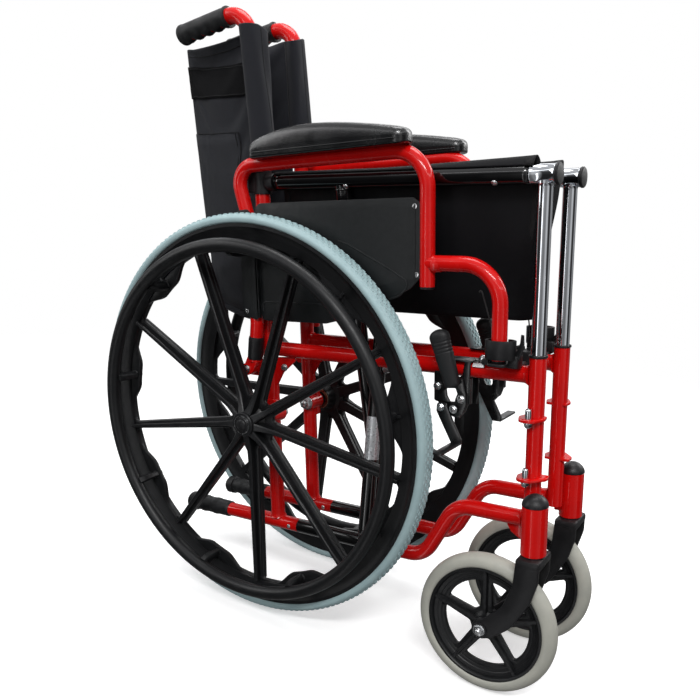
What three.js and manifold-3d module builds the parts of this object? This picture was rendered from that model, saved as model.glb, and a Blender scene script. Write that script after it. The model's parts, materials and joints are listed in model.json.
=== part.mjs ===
// Folding manual wheelchair, shown folded, in millimetres with +Z up.
//
// The chair is drawn in its own upright frame: X runs forward from the rear axle, Y runs to the
// rider's left from the mid-plane, and Z runs up along the front posts. The finished group is then
// leaned back by RAKE, so that the rear tyres and the smaller casters stand on one level floor, and
// moved so that its origin is at the middle of its base.
import * as THREE from 'three';
import { mergeVertices } from 'three/addons/utils/BufferGeometryUtils.js';
import Module from 'manifold-3d';

const wasm = await Module();
wasm.setup();

// ---- Driving dimensions ----
const RAKE = THREE.MathUtils.degToRad(5.5); // lean of the whole frame on its four wheels
const SLIP = 0.3; // gap left between pieces that touch
const SIDE_Y = 46.6; // half the spacing of the two side frames when folded
const TUBE_R = 11; // outer radius of the frame tubes
const ROUND = 10; // sides of an ordinary tube section

const WHEEL_R = 305; // 24 inch rear tyre
const WHEEL_Y = 98; // plane of the rear wheel
const TYRE_HALF = 16; // half width of the rear tyre
const RIM_R = 291; // where the rear tyre meets its rim
const RIM_HALF = 13;
const RIM_INNER_R = 258;
const WHEEL_SEGMENTS = 40;
const SPOKES = 9;
const SPOKE_TURN = { right: 29, left: 20 }; // how far round each rear wheel stands, in degrees
const HANDRIM_R = 261;
const HANDRIM_TUBE_R = 10;
const HANDRIM_Y = 135;
const AXLE_R = 6;

const CASTER_R = 101.6; // 8 inch caster
const CASTER_HALF = 13.4;
const CASTER_RIM_R = 84;
const CASTER_SEGMENTS = 24;
const CASTER_SPOKES = 5;
const CASTER_TRAIL = 63;
const BARREL = { x: 444, y: 76, low: 180, high: 247, radius: 17 };

const POST = { x: 429, low: 203, high: 433, bore: 9.8 };
const CHROME_R = 9.5;
const CHROME_LOW_Z = 415;
const UPPER_RAIL_Z = 409;
const LOWER_RAIL_Z = 124;
const SEAT_RAIL_Z = 652;
const CANE_X = -4;
const CANE_TOP_X = -11;
const CANE_TOP_Y = 50.5;
const CANE_TOP_Z = 881;
const GRIP_END = { x: -138, z: 860.5 };
const PIVOT_ROD = { from: 39, to: 196, radius: 8 };
const CROSS_X = { a: 137, b: 163 }; // where the two cross bars stand along the chair
const CROSS_BOLT_R = 4;
const SEAT_RAIL = { from: 25, to: 406, spigot: 6, frontSpigot: 8 };

const ARM = { y: 71, radius: 10, pivotX: -25, pivotZ: 379 };
const PAD = { inner: 61.2, outer: 99 };
const PANEL_HALF = 2;
const BRAKE = { leverX: 323, leverZ: 357, shoeX: 304, shoeZ: 358 };
const SLING_HALF = 1.5; // half thickness of the upholstery

// ---- Materials ----
const paint = (hex, roughness, metalness) =>
  new THREE.MeshStandardMaterial({ color: hex, roughness, metalness });
const RED = paint(0xd81f1f, 0.3, 0.1);
const CHROME = paint(0xd8dadc, 0.12, 1);
const STEEL = paint(0xa8aaac, 0.35, 1);
const BLACK_STEEL = paint(0x141416, 0.35, 0.2);
const BLACK_PLASTIC = paint(0x1b1c1e, 0.5, 0);
const BLACK_VINYL = paint(0x151517, 0.35, 0);
const NYLON = paint(0x1a1b20, 0.85, 0);
const BLUE_GREY_TYRE = paint(0xb4d2d4, 0.8, 0);
const WARM_GREY_TYRE = paint(0xc8c8be, 0.75, 0);

// ---- Solids ----
function signedVolume(position, index) {
  const [a, b, c] = [new THREE.Vector3(), new THREE.Vector3(), new THREE.Vector3()];
  let volume = 0;
  for (let i = 0; i < index.length; i += 3) {
    a.fromArray(position, 3 * index[i]);
    b.fromArray(position, 3 * index[i + 1]);
    c.fromArray(position, 3 * index[i + 2]);
    volume += a.dot(b.cross(c)) / 6;
  }
  return volume;
}

function turnedInsideOut(index) {
  const flipped = new Uint32Array(index.length);
  for (let i = 0; i < index.length; i += 3) {
    flipped.set([index[i], index[i + 2], index[i + 1]], i);
  }
  return flipped;
}

function solid(geometry) {
  geometry.deleteAttribute('normal');
  geometry.deleteAttribute('uv');
  const merged = mergeVertices(geometry, 1e-3);
  const vertProperties = new Float32Array(merged.attributes.position.array);
  let triVerts = new Uint32Array(merged.index.array);
  if (signedVolume(vertProperties, triVerts) < 0) triVerts = turnedInsideOut(triVerts);
  return new wasm.Manifold(new wasm.Mesh({ numProp: 3, vertProperties, triVerts }));
}

const joined = (...pieces) => pieces.reduce((sum, piece) => sum.add(piece));
const cut = (body, ...tools) => tools.reduce((rest, tool) => rest.subtract(tool), body);

function meshOf(name, body, material, mirrored = false) {
  const { vertProperties, triVerts } = body.getMesh();
  const position = new Float32Array(vertProperties);
  if (mirrored) for (let i = 1; i < position.length; i += 3) position[i] = -position[i];
  const geometry = new THREE.BufferGeometry();
  geometry.setAttribute('position', new THREE.BufferAttribute(position, 3));
  geometry.setIndex(new THREE.BufferAttribute(mirrored ? turnedInsideOut(triVerts) : triVerts, 1));
  const mesh = new THREE.Mesh(geometry, material);
  mesh.name = name;
  return mesh;
}

// A straight round bar between two points.
function rod(from, to, radius, sides = ROUND) {
  const start = new THREE.Vector3(...from);
  const along = new THREE.Vector3(...to).sub(start);
  const geometry = new THREE.CylinderGeometry(radius, radius, along.length(), sides);
  const middle = start.clone().addScaledVector(along, 0.5);
  const up = new THREE.Vector3(0, 1, 0);
  geometry.applyQuaternion(new THREE.Quaternion().setFromUnitVectors(up, along.normalize()));
  return solid(geometry.translate(middle.x, middle.y, middle.z));
}

// A bar that ends in a hole or a collar, bored through.
const pipe = (from, to, outer, inner, sides = ROUND) => cut(
  rod(from, to, outer, sides),
  rod(beyond(to, from), beyond(from, to), inner, sides),
);
function beyond(from, to) {
  const end = new THREE.Vector3(...to);
  return end.add(end.clone().sub(new THREE.Vector3(...from)).setLength(1)).toArray();
}

function box(low, high) {
  const size = high.map((value, i) => value - low[i]);
  const middle = high.map((value, i) => (value + low[i]) / 2);
  return solid(new THREE.BoxGeometry(...size).translate(...middle));
}

// A route of straight stretches and round corners, walked point by point.
class Route extends THREE.Curve {
  constructor(points) {
    super();
    this.points = points;
  }
  getPointAt(u) {
    return this.points[Math.round(u * (this.points.length - 1))].clone();
  }
  getTangentAt(u) {
    const i = Math.round(u * (this.points.length - 1));
    const ahead = this.points[Math.min(i + 1, this.points.length - 1)];
    return ahead.clone().sub(this.points[Math.max(i - 1, 0)]).normalize();
  }
}

function rounded(corners, radius, steps = 3) {
  const at = corners.map((corner) => new THREE.Vector3(...corner));
  const points = [at[0]];
  for (let i = 1; i < at.length - 1; i += 1) {
    const back = at[i - 1].clone().sub(at[i]).normalize();
    const on = at[i + 1].clone().sub(at[i]).normalize();
    const reach = radius / Math.tan(back.angleTo(on) / 2);
    const bend = new THREE.QuadraticBezierCurve3(
      at[i].clone().addScaledVector(back, reach), at[i], at[i].clone().addScaledVector(on, reach));
    points.push(...bend.getPoints(steps));
  }
  points.push(at[at.length - 1]);
  return points;
}

function tube(points, radius, sides = ROUND) {
  const section = new THREE.Shape();
  for (let i = 0; i < sides; i += 1) {
    const angle = (i / sides) * 2 * Math.PI;
    const place = [radius * Math.cos(angle), radius * Math.sin(angle)];
    if (i === 0) section.moveTo(...place);
    else section.lineTo(...place);
  }
  section.closePath();
  return solid(new THREE.ExtrudeGeometry(section, {
    steps: points.length - 1, extrudePath: new Route(points), bevelEnabled: false,
  }));
}

// A flat plate drawn in X and Z, from y = near to y = far.
function plate(outline, near, far, holes = []) {
  const shape = outline instanceof THREE.Shape ? outline
    : new THREE.Shape(outline.map((corner) => new THREE.Vector2(...corner)));
  for (const [x, z, radius] of holes) {
    shape.holes.push(new THREE.Path().absarc(x, z, radius, 0, 2 * Math.PI, true));
  }
  const geometry = new THREE.ExtrudeGeometry(shape, {
    depth: far - near, bevelEnabled: false, curveSegments: 6,
  });
  return solid(geometry.rotateX(Math.PI / 2).translate(0, far, 0));
}

// A solid turned about a line along Y, with a flat of its rim facing the floor.
function turned(profile, centre, segments) {
  const points = profile.map(([radius, y]) => new THREE.Vector2(radius, y));
  const start = Math.PI + RAKE - Math.PI / segments;
  return solid(new THREE.LatheGeometry(points, segments, start).translate(...centre));
}

// ---- Side frame, drawn for the right side, at negative Y ----
function frontPost() {
  const { x, low, high, bore } = POST;
  const barrelMiddle = (BARREL.low + BARREL.high) / 2;
  const lug = (z, from, to, pinX) => joined(
    box([from, -72, z], [to, -SIDE_Y - TUBE_R + 4, z + 5]),
    rod([pinX, -65, z - 12], [pinX, -65, z + 13], 4),
  );
  const body = joined(
    rod([x, -SIDE_Y, low], [x, -SIDE_Y, high], TUBE_R, 16),
    rod([BARREL.x, -BARREL.y, BARREL.low], [BARREL.x, -BARREL.y, BARREL.high], BARREL.radius, 16),
    box([x - 4, -BARREL.y, barrelMiddle - 22], [x + 10, -SIDE_Y, barrelMiddle + 22]),
    lug(351, 407, 438, 421),
    lug(272, 411, 448, 419),
  );
  return cut(
    body,
    rod([x, -SIDE_Y, low + 4], [x, -SIDE_Y, high + 1], bore, 16),
    rod([BARREL.x, -BARREL.y, BARREL.low - 1], [BARREL.x, -BARREL.y, BARREL.high - 5], 7.4, ROUND),
  );
}

function upperRail() {
  const from = CANE_X + TUBE_R + SLIP;
  const to = POST.x - TUBE_R - SLIP;
  return rod([from, -SIDE_Y, UPPER_RAIL_Z], [to, -SIDE_Y, UPPER_RAIL_Z], TUBE_R);
}

const CANE_ROUTE = rounded([
  [CANE_X, -SIDE_Y, LOWER_RAIL_Z + TUBE_R + SLIP],
  [CANE_X, -SIDE_Y, 700],
  [CANE_TOP_X, -CANE_TOP_Y, CANE_TOP_Z],
  [GRIP_END.x, -CANE_TOP_Y, GRIP_END.z],
], 24, 4);

function backCane() {
  const sleeveInner = -SIDE_Y + 12;
  const sleeveOuter = -SIDE_Y - 16;
  return cut(
    joined(tube(CANE_ROUTE, TUBE_R), rod([0, sleeveInner, WHEEL_R], [0, sleeveOuter, WHEEL_R], 13, 16)),
    rod([0, sleeveInner + 2, WHEEL_R], [0, sleeveOuter - 2, WHEEL_R], AXLE_R + 0.5),
  );
}

function pushGrip() {
  const end = new THREE.Vector3(GRIP_END.x, -CANE_TOP_Y, GRIP_END.z);
  const along = new THREE.Vector3(CANE_TOP_X, -CANE_TOP_Y, CANE_TOP_Z).sub(end).normalize();
  const at = (distance) => end.clone().addScaledVector(along, distance).toArray();
  return cut(rod(at(-6), at(94), 15.5, 14), rod(at(-SLIP), at(96), TUBE_R + 0.7, 14));
}

function lowerRail() {
  return joined(
    rod([-190, -SIDE_Y, LOWER_RAIL_Z], [PIVOT_ROD.from, -SIDE_Y, LOWER_RAIL_Z], TUBE_R),
    rod([PIVOT_ROD.from - 1, -SIDE_Y, LOWER_RAIL_Z], [PIVOT_ROD.to, -SIDE_Y, LOWER_RAIL_Z],
      PIVOT_ROD.radius),
  );
}

function tippingTip() {
  const y = -SIDE_Y;
  return cut(
    rod([-196, y, LOWER_RAIL_Z], [-105, y, LOWER_RAIL_Z], 14.5, 14),
    rod([-190 - SLIP, y, LOWER_RAIL_Z], [-100, y, LOWER_RAIL_Z], TUBE_R + 0.5, 14),
  );
}

function gooseNeck() {
  const route = rounded([
    [PIVOT_ROD.to + SLIP, -SIDE_Y, LOWER_RAIL_Z],
    [266, -SIDE_Y, LOWER_RAIL_Z],
    [318, -SIDE_Y, 214],
    [POST.x - TUBE_R - SLIP, -SIDE_Y, 214],
  ], 34);
  return tube(route, TUBE_R);
}

function axleBolt() {
  const inner = -SIDE_Y + 13;
  return joined(
    rod([0, inner, WHEEL_R], [0, -116, WHEEL_R], AXLE_R),
    rod([0, inner, WHEEL_R], [0, inner + 8, WHEEL_R], 9.5, 6),
  );
}

function armBracket() {
  const { pivotX, pivotZ } = ARM;
  const near = -SIDE_Y - TUBE_R - SLIP;
  return joined(
    plate([[-38, 366], [6, 366], [6, 392], [-20, 392], [-38, 388]], near - 2.2, near),
    rod([pivotX, near - 1, pivotZ], [pivotX, -80, pivotZ], 4),
  );
}

function armLatch() {
  const y = -ARM.y;
  const cup = cut(
    pipe([386, y, 424], [386, y, 449], 13, ARM.radius + 1, 16),
    box([360, y - 20, 425.5], [381, y + 20, 460]),
  );
  const clamp = cut(
    box([366, -62, 394], [408, -33, 424]),
    rod([300, -SIDE_Y, UPPER_RAIL_Z], [450, -SIDE_Y, UPPER_RAIL_Z], TUBE_R + 0.4),
  );
  return joined(clamp, cup, box([376, y - 13, 419], [398, -58, 425]));
}

function brakeBracket() {
  const near = -SIDE_Y - TUBE_R - SLIP;
  const face = plate(
    [[290, 392], [288, 352], [300, 346], [330, 345], [352, 372], [352, 398], [330, 398], [318, 386]],
    near - 3, near);
  const clamp = cut(
    box([334, near - 1, 394], [352, -33, 424]),
    rod([300, -SIDE_Y, UPPER_RAIL_Z], [450, -SIDE_Y, UPPER_RAIL_Z], TUBE_R + 0.4),
  );
  const pins = [[BRAKE.leverX, BRAKE.leverZ], [BRAKE.shoeX, BRAKE.shoeZ]]
    .map(([x, z]) => rod([x, near - 1, z], [x, -72, z], 3.5));
  return joined(face, clamp, ...pins);
}

// ---- Rear wheel ----
const TYRE_PROFILE = [
  [RIM_R + 1, -TYRE_HALF + 3], [298, -TYRE_HALF], [WHEEL_R, -TYRE_HALF + 8],
  [WHEEL_R, TYRE_HALF - 8], [298, TYRE_HALF], [RIM_R + 1, TYRE_HALF - 3], [RIM_R + 1, -TYRE_HALF + 3],
];

// Flats of a turned polygon lie closer in than its corners, so radii are given out to the flats.
const toCorners = (radius, segments) => radius / Math.cos(Math.PI / segments);

function rearTyre() {
  const profile = TYRE_PROFILE.map(([radius, y]) => [toCorners(radius, WHEEL_SEGMENTS), y]);
  return turned(profile, [0, -WHEEL_Y, WHEEL_R], WHEEL_SEGMENTS);
}

function spoke(from, to, halfFrom, halfTo, low, high) {
  return plate([[from, -halfFrom], [to, -halfTo], [to, halfTo], [from, halfFrom]], low, high);
}

function rearWheel(side) {
  const outer = toCorners(RIM_R, WHEEL_SEGMENTS);
  const rim = turned([
    [RIM_INNER_R, -10], [outer, -RIM_HALF], [outer, RIM_HALF], [RIM_INNER_R, 10],
    [RIM_INNER_R, -10],
  ], [0, 0, 0], WHEEL_SEGMENTS);
  let wheel = rim;
  for (let i = 0; i < SPOKES; i += 1) {
    const angle = (360 / SPOKES) * i + SPOKE_TURN[side];
    const bump = plate([[234, -14], [RIM_INNER_R + 4, -32], [RIM_INNER_R + 4, 32], [234, 14]], -11, 3);
    wheel = joined(
      wheel,
      spoke(12, RIM_INNER_R + 4, 8, 6, -13, 12).rotate([0, -angle, 0]),
      bump.rotate([0, -angle - 180 / SPOKES, 0]),
    );
  }
  wheel = joined(wheel, rod([0, -27, 0], [0, 28, 0], 19, 18));
  wheel = cut(wheel, rod([0, -22, 0], [0, 30, 0], AXLE_R + 1, 16));
  return wheel.translate([0, -WHEEL_Y, WHEEL_R]);
}

function handrim(side) {
  const section = [];
  for (let i = 0; i <= 6; i += 1) {
    const angle = (i / 6) * 2 * Math.PI + Math.PI / 6;
    const reach = HANDRIM_TUBE_R / Math.cos(Math.PI / 6);
    section.push([HANDRIM_R - reach * Math.cos(angle), reach * Math.sin(angle)]);
  }
  let rim = turned(section, [0, WHEEL_Y - HANDRIM_Y, 0], WHEEL_SEGMENTS);
  for (let i = 0; i < SPOKES; i += 1) {
    const angle = (360 / SPOKES) * (i + 0.5) + SPOKE_TURN[side];
    const standoff = plate([[236, -8], [256, -8], [256, 8], [236, 8]], -36, -RIM_HALF - 0.6);
    rim = joined(rim, standoff.rotate([0, -angle, 0]));
  }
  return rim.translate([0, -WHEEL_Y, WHEEL_R]);
}

// ---- Caster ----
const CASTER_X = BARREL.x - CASTER_TRAIL;
// Both axle heights follow from standing the leaned frame on a level floor.
const CASTER_Z = WHEEL_R - (WHEEL_R - CASTER_R + CASTER_X * Math.sin(RAKE)) / Math.cos(RAKE);

function casterFork() {
  const leg = () => {
    const outline = new THREE.Shape();
    outline.moveTo(428, 174);
    outline.lineTo(461, 174);
    outline.quadraticCurveTo(458, 100, CASTER_X + 7, CASTER_Z - 13);
    outline.lineTo(CASTER_X - 8, CASTER_Z - 12);
    outline.lineTo(CASTER_X - 13, CASTER_Z + 2);
    outline.quadraticCurveTo(428, 120, 428, 174);
    return outline;
  };
  const y = -BARREL.y;
  const crown = box([428, y - 24, 169], [461, y + 24, 179]);
  const stem = rod([BARREL.x, y, 170], [BARREL.x, y, 238], 6.7);
  const legs = [[y - 24, y - 17.5], [y + 17.5, y + 24]].map((span) => plate(leg(), ...span));
  return cut(joined(crown, stem, ...legs),
    rod([CASTER_X, y - 30, CASTER_Z], [CASTER_X, y + 30, CASTER_Z], 4.4, ROUND));
}

function casterAxle() {
  const at = (offset) => [CASTER_X, -BARREL.y + offset, CASTER_Z];
  return joined(
    rod(at(-28), at(28), 4),
    rod(at(-31), at(-24 - SLIP), 7, 6),
    rod(at(24 + SLIP), at(31), 7, 6),
  );
}

function casterTyre() {
  const corner = (radius) => toCorners(radius, CASTER_SEGMENTS);
  return turned([
    [corner(CASTER_RIM_R + 0.6), -11], [corner(95), -CASTER_HALF], [corner(CASTER_R), -7],
    [corner(CASTER_R), 7], [corner(95), CASTER_HALF], [corner(CASTER_RIM_R + 0.6), 11],
    [corner(CASTER_RIM_R + 0.6), -11],
  ], [CASTER_X, -BARREL.y, CASTER_Z], CASTER_SEGMENTS);
}

function casterWheel() {
  const outer = toCorners(CASTER_RIM_R, CASTER_SEGMENTS);
  let wheel = turned([[68, -9], [outer, -11], [outer, 11], [68, 9], [68, -9]], [0, 0, 0],
    CASTER_SEGMENTS);
  for (let i = 0; i < CASTER_SPOKES; i += 1) {
    const angle = (360 / CASTER_SPOKES) * i + 18;
    wheel = joined(wheel, spoke(8, 71, 7, 5, -7, 7).rotate([0, -angle, 0]));
  }
  wheel = joined(wheel, rod([0, -16, 0], [0, 16, 0], 13));
  wheel = cut(wheel, rod([0, -20, 0], [0, 20, 0], 4.6));
  return wheel.translate([CASTER_X, -BARREL.y, CASTER_Z]);
}

// ---- Armrest ----
function armTube() {
  const y = -ARM.y;
  const { pivotX, pivotZ, radius } = ARM;
  const loop = tube(rounded([
    [-14, y, 392], [-6, y, 450], [-8, y, 585], [-31, y, 669.5], [262, y, 682.5], [284, y, 640],
    [284, y, 518],
  ], 17), radius);
  const branch = tube(rounded([[284, y, 545], [352, y, 545], [386, y, 520], [386, y, 428]], 22), radius);
  const eye = joined(
    rod([pivotX, y - 8, pivotZ], [pivotX, y + 8, pivotZ], 9.5),
    plate([[-31, 384], [-16, 372], [-4, 396], [-22, 402]], y - 8, y + 8),
  );
  return cut(joined(loop, branch, eye),
    rod([pivotX, y - 20, pivotZ], [pivotX, y + 20, pivotZ], 4.4));
}

function armPad() {
  const side = new THREE.Shape();
  side.moveTo(18, 688);
  side.lineTo(24, 683);
  side.lineTo(262, 693.6);
  side.lineTo(268, 698);
  side.lineTo(264, 708);
  side.quadraticCurveTo(234, 717, 180, 719);
  side.quadraticCurveTo(100, 722, 48, 713);
  side.lineTo(20, 702);
  side.lineTo(18, 688);
  return plate(side, -PAD.outer, -PAD.inner);
}

function sidePanel() {
  const y = -ARM.y;
  return plate([
    [4.5, 470], [12, 457], [125, 460], [160, 468], [237, 503], [262, 516], [273, 530], [273, 620],
    [265, 627], [6, 620], [2, 600],
  ], y - PANEL_HALF, y + PANEL_HALF);
}

// ---- Brake ----
function brakeLever() {
  const far = -SIDE_Y - TUBE_R - 4;
  return plate([[313, 352], [322, 346], [334, 352], [336, 372], [331, 397], [319, 395], [313, 372]],
    far - 4, far, [[BRAKE.leverX, BRAKE.leverZ, 4]]);
}

function brakeGrip() {
  const y = -72;
  const low = [326, y, 391];
  const high = [300.5, y, 460];
  const plateGap = box([300, -SIDE_Y - TUBE_R - 8.4, 340], [350, -50, 400]);
  return cut(rod(low, high, 11, 12), plateGap);
}

function brakeShoe() {
  const far = -SIDE_Y - TUBE_R - 8.6;
  const { shoeX, shoeZ } = BRAKE;
  const arm = plate([
    [shoeX - 7, shoeZ + 6], [shoeX - 8, shoeZ - 6], [322, 309], [334, 309], [334, 314], [shoeX + 7, shoeZ + 4],
  ], far - 4, far, [[shoeX, shoeZ, 4]]);
  const foot = box([322, -125, 309], [334, far - 1, 313]);
  return joined(arm, foot);
}

// ---- Cross brace, with the seat rails on its upper ends ----
function crossBar(letter, lowerY) {
  const x = CROSS_X[letter];
  const upperY = -lowerY;
  const from = PIVOT_ROD.from + SLIP;
  const to = PIVOT_ROD.to - SLIP;
  const lower = LOWER_RAIL_Z;
  const body = joined(
    rod([from, lowerY, lower], [to, lowerY, lower], TUBE_R),
    rod([x, lowerY, lower], [x, upperY, SEAT_RAIL_Z], TUBE_R),
    rod([SEAT_RAIL.from, upperY, SEAT_RAIL_Z], [SEAT_RAIL.to, upperY, SEAT_RAIL_Z], TUBE_R),
    rod([SEAT_RAIL.from - 14, upperY, SEAT_RAIL_Z], [SEAT_RAIL.from + 1, upperY, SEAT_RAIL_Z],
      SEAT_RAIL.spigot),
    rod([SEAT_RAIL.to - 1, upperY, SEAT_RAIL_Z], [440, upperY, SEAT_RAIL_Z], SEAT_RAIL.frontSpigot),
  );
  const middle = (LOWER_RAIL_Z + SEAT_RAIL_Z) / 2;
  return cut(
    body,
    rod([from - 1, lowerY, lower], [to + 1, lowerY, lower], PIVOT_ROD.radius + 0.5, ROUND),
    rod([x - 20, 0, middle], [x + 20, 0, middle], CROSS_BOLT_R + 0.5),
  );
}

function pivotBolt() {
  const middle = (LOWER_RAIL_Z + SEAT_RAIL_Z) / 2;
  const ends = [CROSS_X.a - TUBE_R - 2, CROSS_X.b + TUBE_R + 2];
  return joined(
    rod([ends[0] - 6, 0, middle], [ends[1] + 6, 0, middle], CROSS_BOLT_R),
    rod([ends[0] - 6, 0, middle], [ends[0], 0, middle], 8, 6),
    rod([ends[1], 0, middle], [ends[1] + 6, 0, middle], 8, 6),
  );
}

// ---- Seat rail guides ----
function guidePost() {
  const y = -SIDE_Y;
  const [back, front] = [411, 447];
  return cut(
    joined(
      rod([POST.x, y, CHROME_LOW_Z], [POST.x, y, SEAT_RAIL_Z], CHROME_R, 16),
      rod([back, y, SEAT_RAIL_Z], [front, y, SEAT_RAIL_Z], 12.5, 16),
    ),
    rod([back - 1, y, SEAT_RAIL_Z], [front - 5, y, SEAT_RAIL_Z], SEAT_RAIL.frontSpigot + 0.5, ROUND),
  );
}

function rearSlide() {
  const y = -SIDE_Y;
  const ring = rod([CANE_X, y, SEAT_RAIL_Z - 17], [CANE_X, y, SEAT_RAIL_Z + 17], 13.8, 16);
  const boss = rod([CANE_X + 8, y, SEAT_RAIL_Z], [SEAT_RAIL.from - 0.8, y, SEAT_RAIL_Z], 12.5, 14);
  return cut(
    joined(ring, boss),
    rod([CANE_X, y, 600], [CANE_X, y, 700], TUBE_R + 0.5, 16),
    rod([SEAT_RAIL.from - 15, y, SEAT_RAIL_Z], [SEAT_RAIL.from + 5, y, SEAT_RAIL_Z],
      SEAT_RAIL.spigot + 0.5),
  );
}

// ---- Upholstery, each sling in two halves that meet at its crease ----
function seatHalf() {
  // A slab from the rail's inner side down to the crease, drawn as a slanted section.
  const section = new THREE.Shape();
  const [top, bottom] = [[-33.2, 640], [-8.9, 502]];
  section.moveTo(top[0], top[1]);
  section.lineTo(top[0] + 2 * SLING_HALF, top[1]);
  section.lineTo(bottom[0] + 2 * SLING_HALF, bottom[1]);
  section.lineTo(bottom[0], bottom[1]);
  section.closePath();
  const slab = new THREE.ExtrudeGeometry(section, { depth: 376, bevelEnabled: false });
  // The section's own X and Y become the chair's Y and Z, and its depth runs forward.
  const turn = new THREE.Matrix4().makeBasis(
    new THREE.Vector3(0, 1, 0), new THREE.Vector3(0, 0, 1), new THREE.Vector3(1, 0, 0));
  return solid(slab.applyMatrix4(turn).translate(28, 0, 0));
}

function backHalf() {
  const [front, rear] = [[-19, -38], [-138, -16]];
  const section = new THREE.Shape();
  section.moveTo(front[0], front[1]);
  section.lineTo(rear[0], rear[1]);
  section.lineTo(rear[0], rear[1] + 2 * SLING_HALF);
  section.lineTo(front[0], front[1] + 2 * SLING_HALF);
  section.closePath();
  const low = 462;
  return solid(new THREE.ExtrudeGeometry(section, { depth: 345, bevelEnabled: false })
    .translate(0, 0, low));
}

// ---- Assembly ----
const SIDE_PIECES = [
  ['front_post', frontPost, RED],
  ['upper_rail', upperRail, RED],
  ['back_cane', backCane, RED],
  ['push_grip', pushGrip, BLACK_VINYL],
  ['lower_rail', lowerRail, RED],
  ['tipping_tip', tippingTip, BLACK_VINYL],
  ['goose_neck', gooseNeck, RED],
  ['axle_bolt', axleBolt, STEEL],
  ['arm_bracket', armBracket, RED],
  ['arm_latch', armLatch, BLACK_PLASTIC],
  ['brake_bracket', brakeBracket, BLACK_STEEL],
  ['rear_tyre', rearTyre, BLUE_GREY_TYRE],
  ['rear_wheel', rearWheel, BLACK_PLASTIC],
  ['handrim', handrim, BLACK_PLASTIC],
  ['caster_fork', casterFork, BLACK_PLASTIC],
  ['caster_axle', casterAxle, STEEL],
  ['caster_wheel', casterWheel, BLACK_PLASTIC],
  ['caster_tyre', casterTyre, WARM_GREY_TYRE],
  ['arm_tube', armTube, RED],
  ['arm_pad', armPad, BLACK_VINYL],
  ['side_panel', sidePanel, BLACK_PLASTIC],
  ['brake_lever', brakeLever, BLACK_STEEL],
  ['brake_grip', brakeGrip, BLACK_VINYL],
  ['brake_shoe', brakeShoe, BLACK_STEEL],
  ['guide_post', guidePost, CHROME],
  ['rear_slide', rearSlide, BLACK_PLASTIC],
  ['seat_half', seatHalf, BLACK_VINYL],
  ['back_half', backHalf, NYLON],
];

const frame = new THREE.Group();
for (const side of ['right', 'left']) {
  const half = new THREE.Group();
  for (const [name, make, material] of SIDE_PIECES) {
    half.add(meshOf(`${side}_${name}`, make(side), material, side === 'left'));
  }
  frame.add(half);
}
frame.add(meshOf('cross_bar_a', crossBar('a', SIDE_Y), BLACK_STEEL));
frame.add(meshOf('cross_bar_b', crossBar('b', -SIDE_Y), BLACK_STEEL));
frame.add(meshOf('pivot_bolt', pivotBolt(), STEEL));

// Leaning the frame back about the rear axle lifts nothing off the floor: the rear tyre keeps its
// radius below the axle, so the axle goes back to its own height.
frame.rotation.y = -RAKE;
const axle = new THREE.Vector3(0, 0, WHEEL_R).applyEuler(frame.rotation);
const casterAxleAt = new THREE.Vector3(CASTER_X, 0, CASTER_Z).applyEuler(frame.rotation);
const back = axle.x - WHEEL_R;
const front = casterAxleAt.x + CASTER_R;
frame.position.set(-(back + front) / 2, 0, WHEEL_R - axle.z);

const wheelchair = new THREE.Group();
wheelchair.add(frame);
export default wheelchair;
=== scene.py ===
"""Looks of the folding wheelchair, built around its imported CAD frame.

Pieces are drawn in the chair's own upright frame, in millimetres: X runs forward from the rear axle,
Y to the rider's left and Z up along the front posts. CHAIR turns that frame into the row frame in
metres. Every piece is drawn for the right side, at negative Y, and mirrored for the left side.
"""

import json
import math

import bmesh
import bpy
import numpy as np
from mathutils import Matrix, Vector


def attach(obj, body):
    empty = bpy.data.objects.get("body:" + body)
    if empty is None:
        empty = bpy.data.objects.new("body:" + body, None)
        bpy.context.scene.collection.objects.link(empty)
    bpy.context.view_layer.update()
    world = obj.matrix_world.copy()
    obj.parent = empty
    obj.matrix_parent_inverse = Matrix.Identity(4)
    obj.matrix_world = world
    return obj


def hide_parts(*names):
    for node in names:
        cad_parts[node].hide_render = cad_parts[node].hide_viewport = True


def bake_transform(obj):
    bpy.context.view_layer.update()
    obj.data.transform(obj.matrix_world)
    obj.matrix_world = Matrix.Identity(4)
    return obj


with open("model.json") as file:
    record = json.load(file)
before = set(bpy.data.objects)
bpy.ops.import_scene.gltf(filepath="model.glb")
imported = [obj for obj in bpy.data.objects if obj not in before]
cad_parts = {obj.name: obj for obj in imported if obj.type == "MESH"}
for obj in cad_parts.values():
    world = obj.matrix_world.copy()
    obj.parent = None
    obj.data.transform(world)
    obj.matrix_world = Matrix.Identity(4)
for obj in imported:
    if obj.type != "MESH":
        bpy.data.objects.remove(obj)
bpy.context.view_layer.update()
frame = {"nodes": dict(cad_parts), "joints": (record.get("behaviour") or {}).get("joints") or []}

# ---- The chair's own frame, read from the joints ----
JOINTS = {joint["name"]: joint for joint in frame["joints"]}
FORWARD = -Vector(JOINTS["fold"]["axis"])
LEFTWARD = Vector((0, 1, 0))
UPWARD = FORWARD.cross(LEFTWARD)
AXLE = Vector(JOINTS["right_wheel_spin"]["pos_m"])
ORIGIN = Vector((AXLE.x, 0, AXLE.z)) - UPWARD * AXLE.z
MM = 0.001
CHAIR = Matrix.Translation(ORIGIN) @ Matrix((FORWARD, LEFTWARD, UPWARD)).transposed().to_4x4()
CHAIR = CHAIR @ Matrix.Scale(MM, 4)
TO_CHAIR = CHAIR.inverted()


def span(node):
    """Lowest and highest corner of a CAD node in the chair's own frame, in millimetres."""
    points = np.array([TO_CHAIR @ v.co for v in frame["nodes"][node].data.vertices])
    return Vector(points.min(0)), Vector(points.max(0))


def joint_at(name):
    return TO_CHAIR @ Vector(JOINTS[name]["pos_m"])


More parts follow.
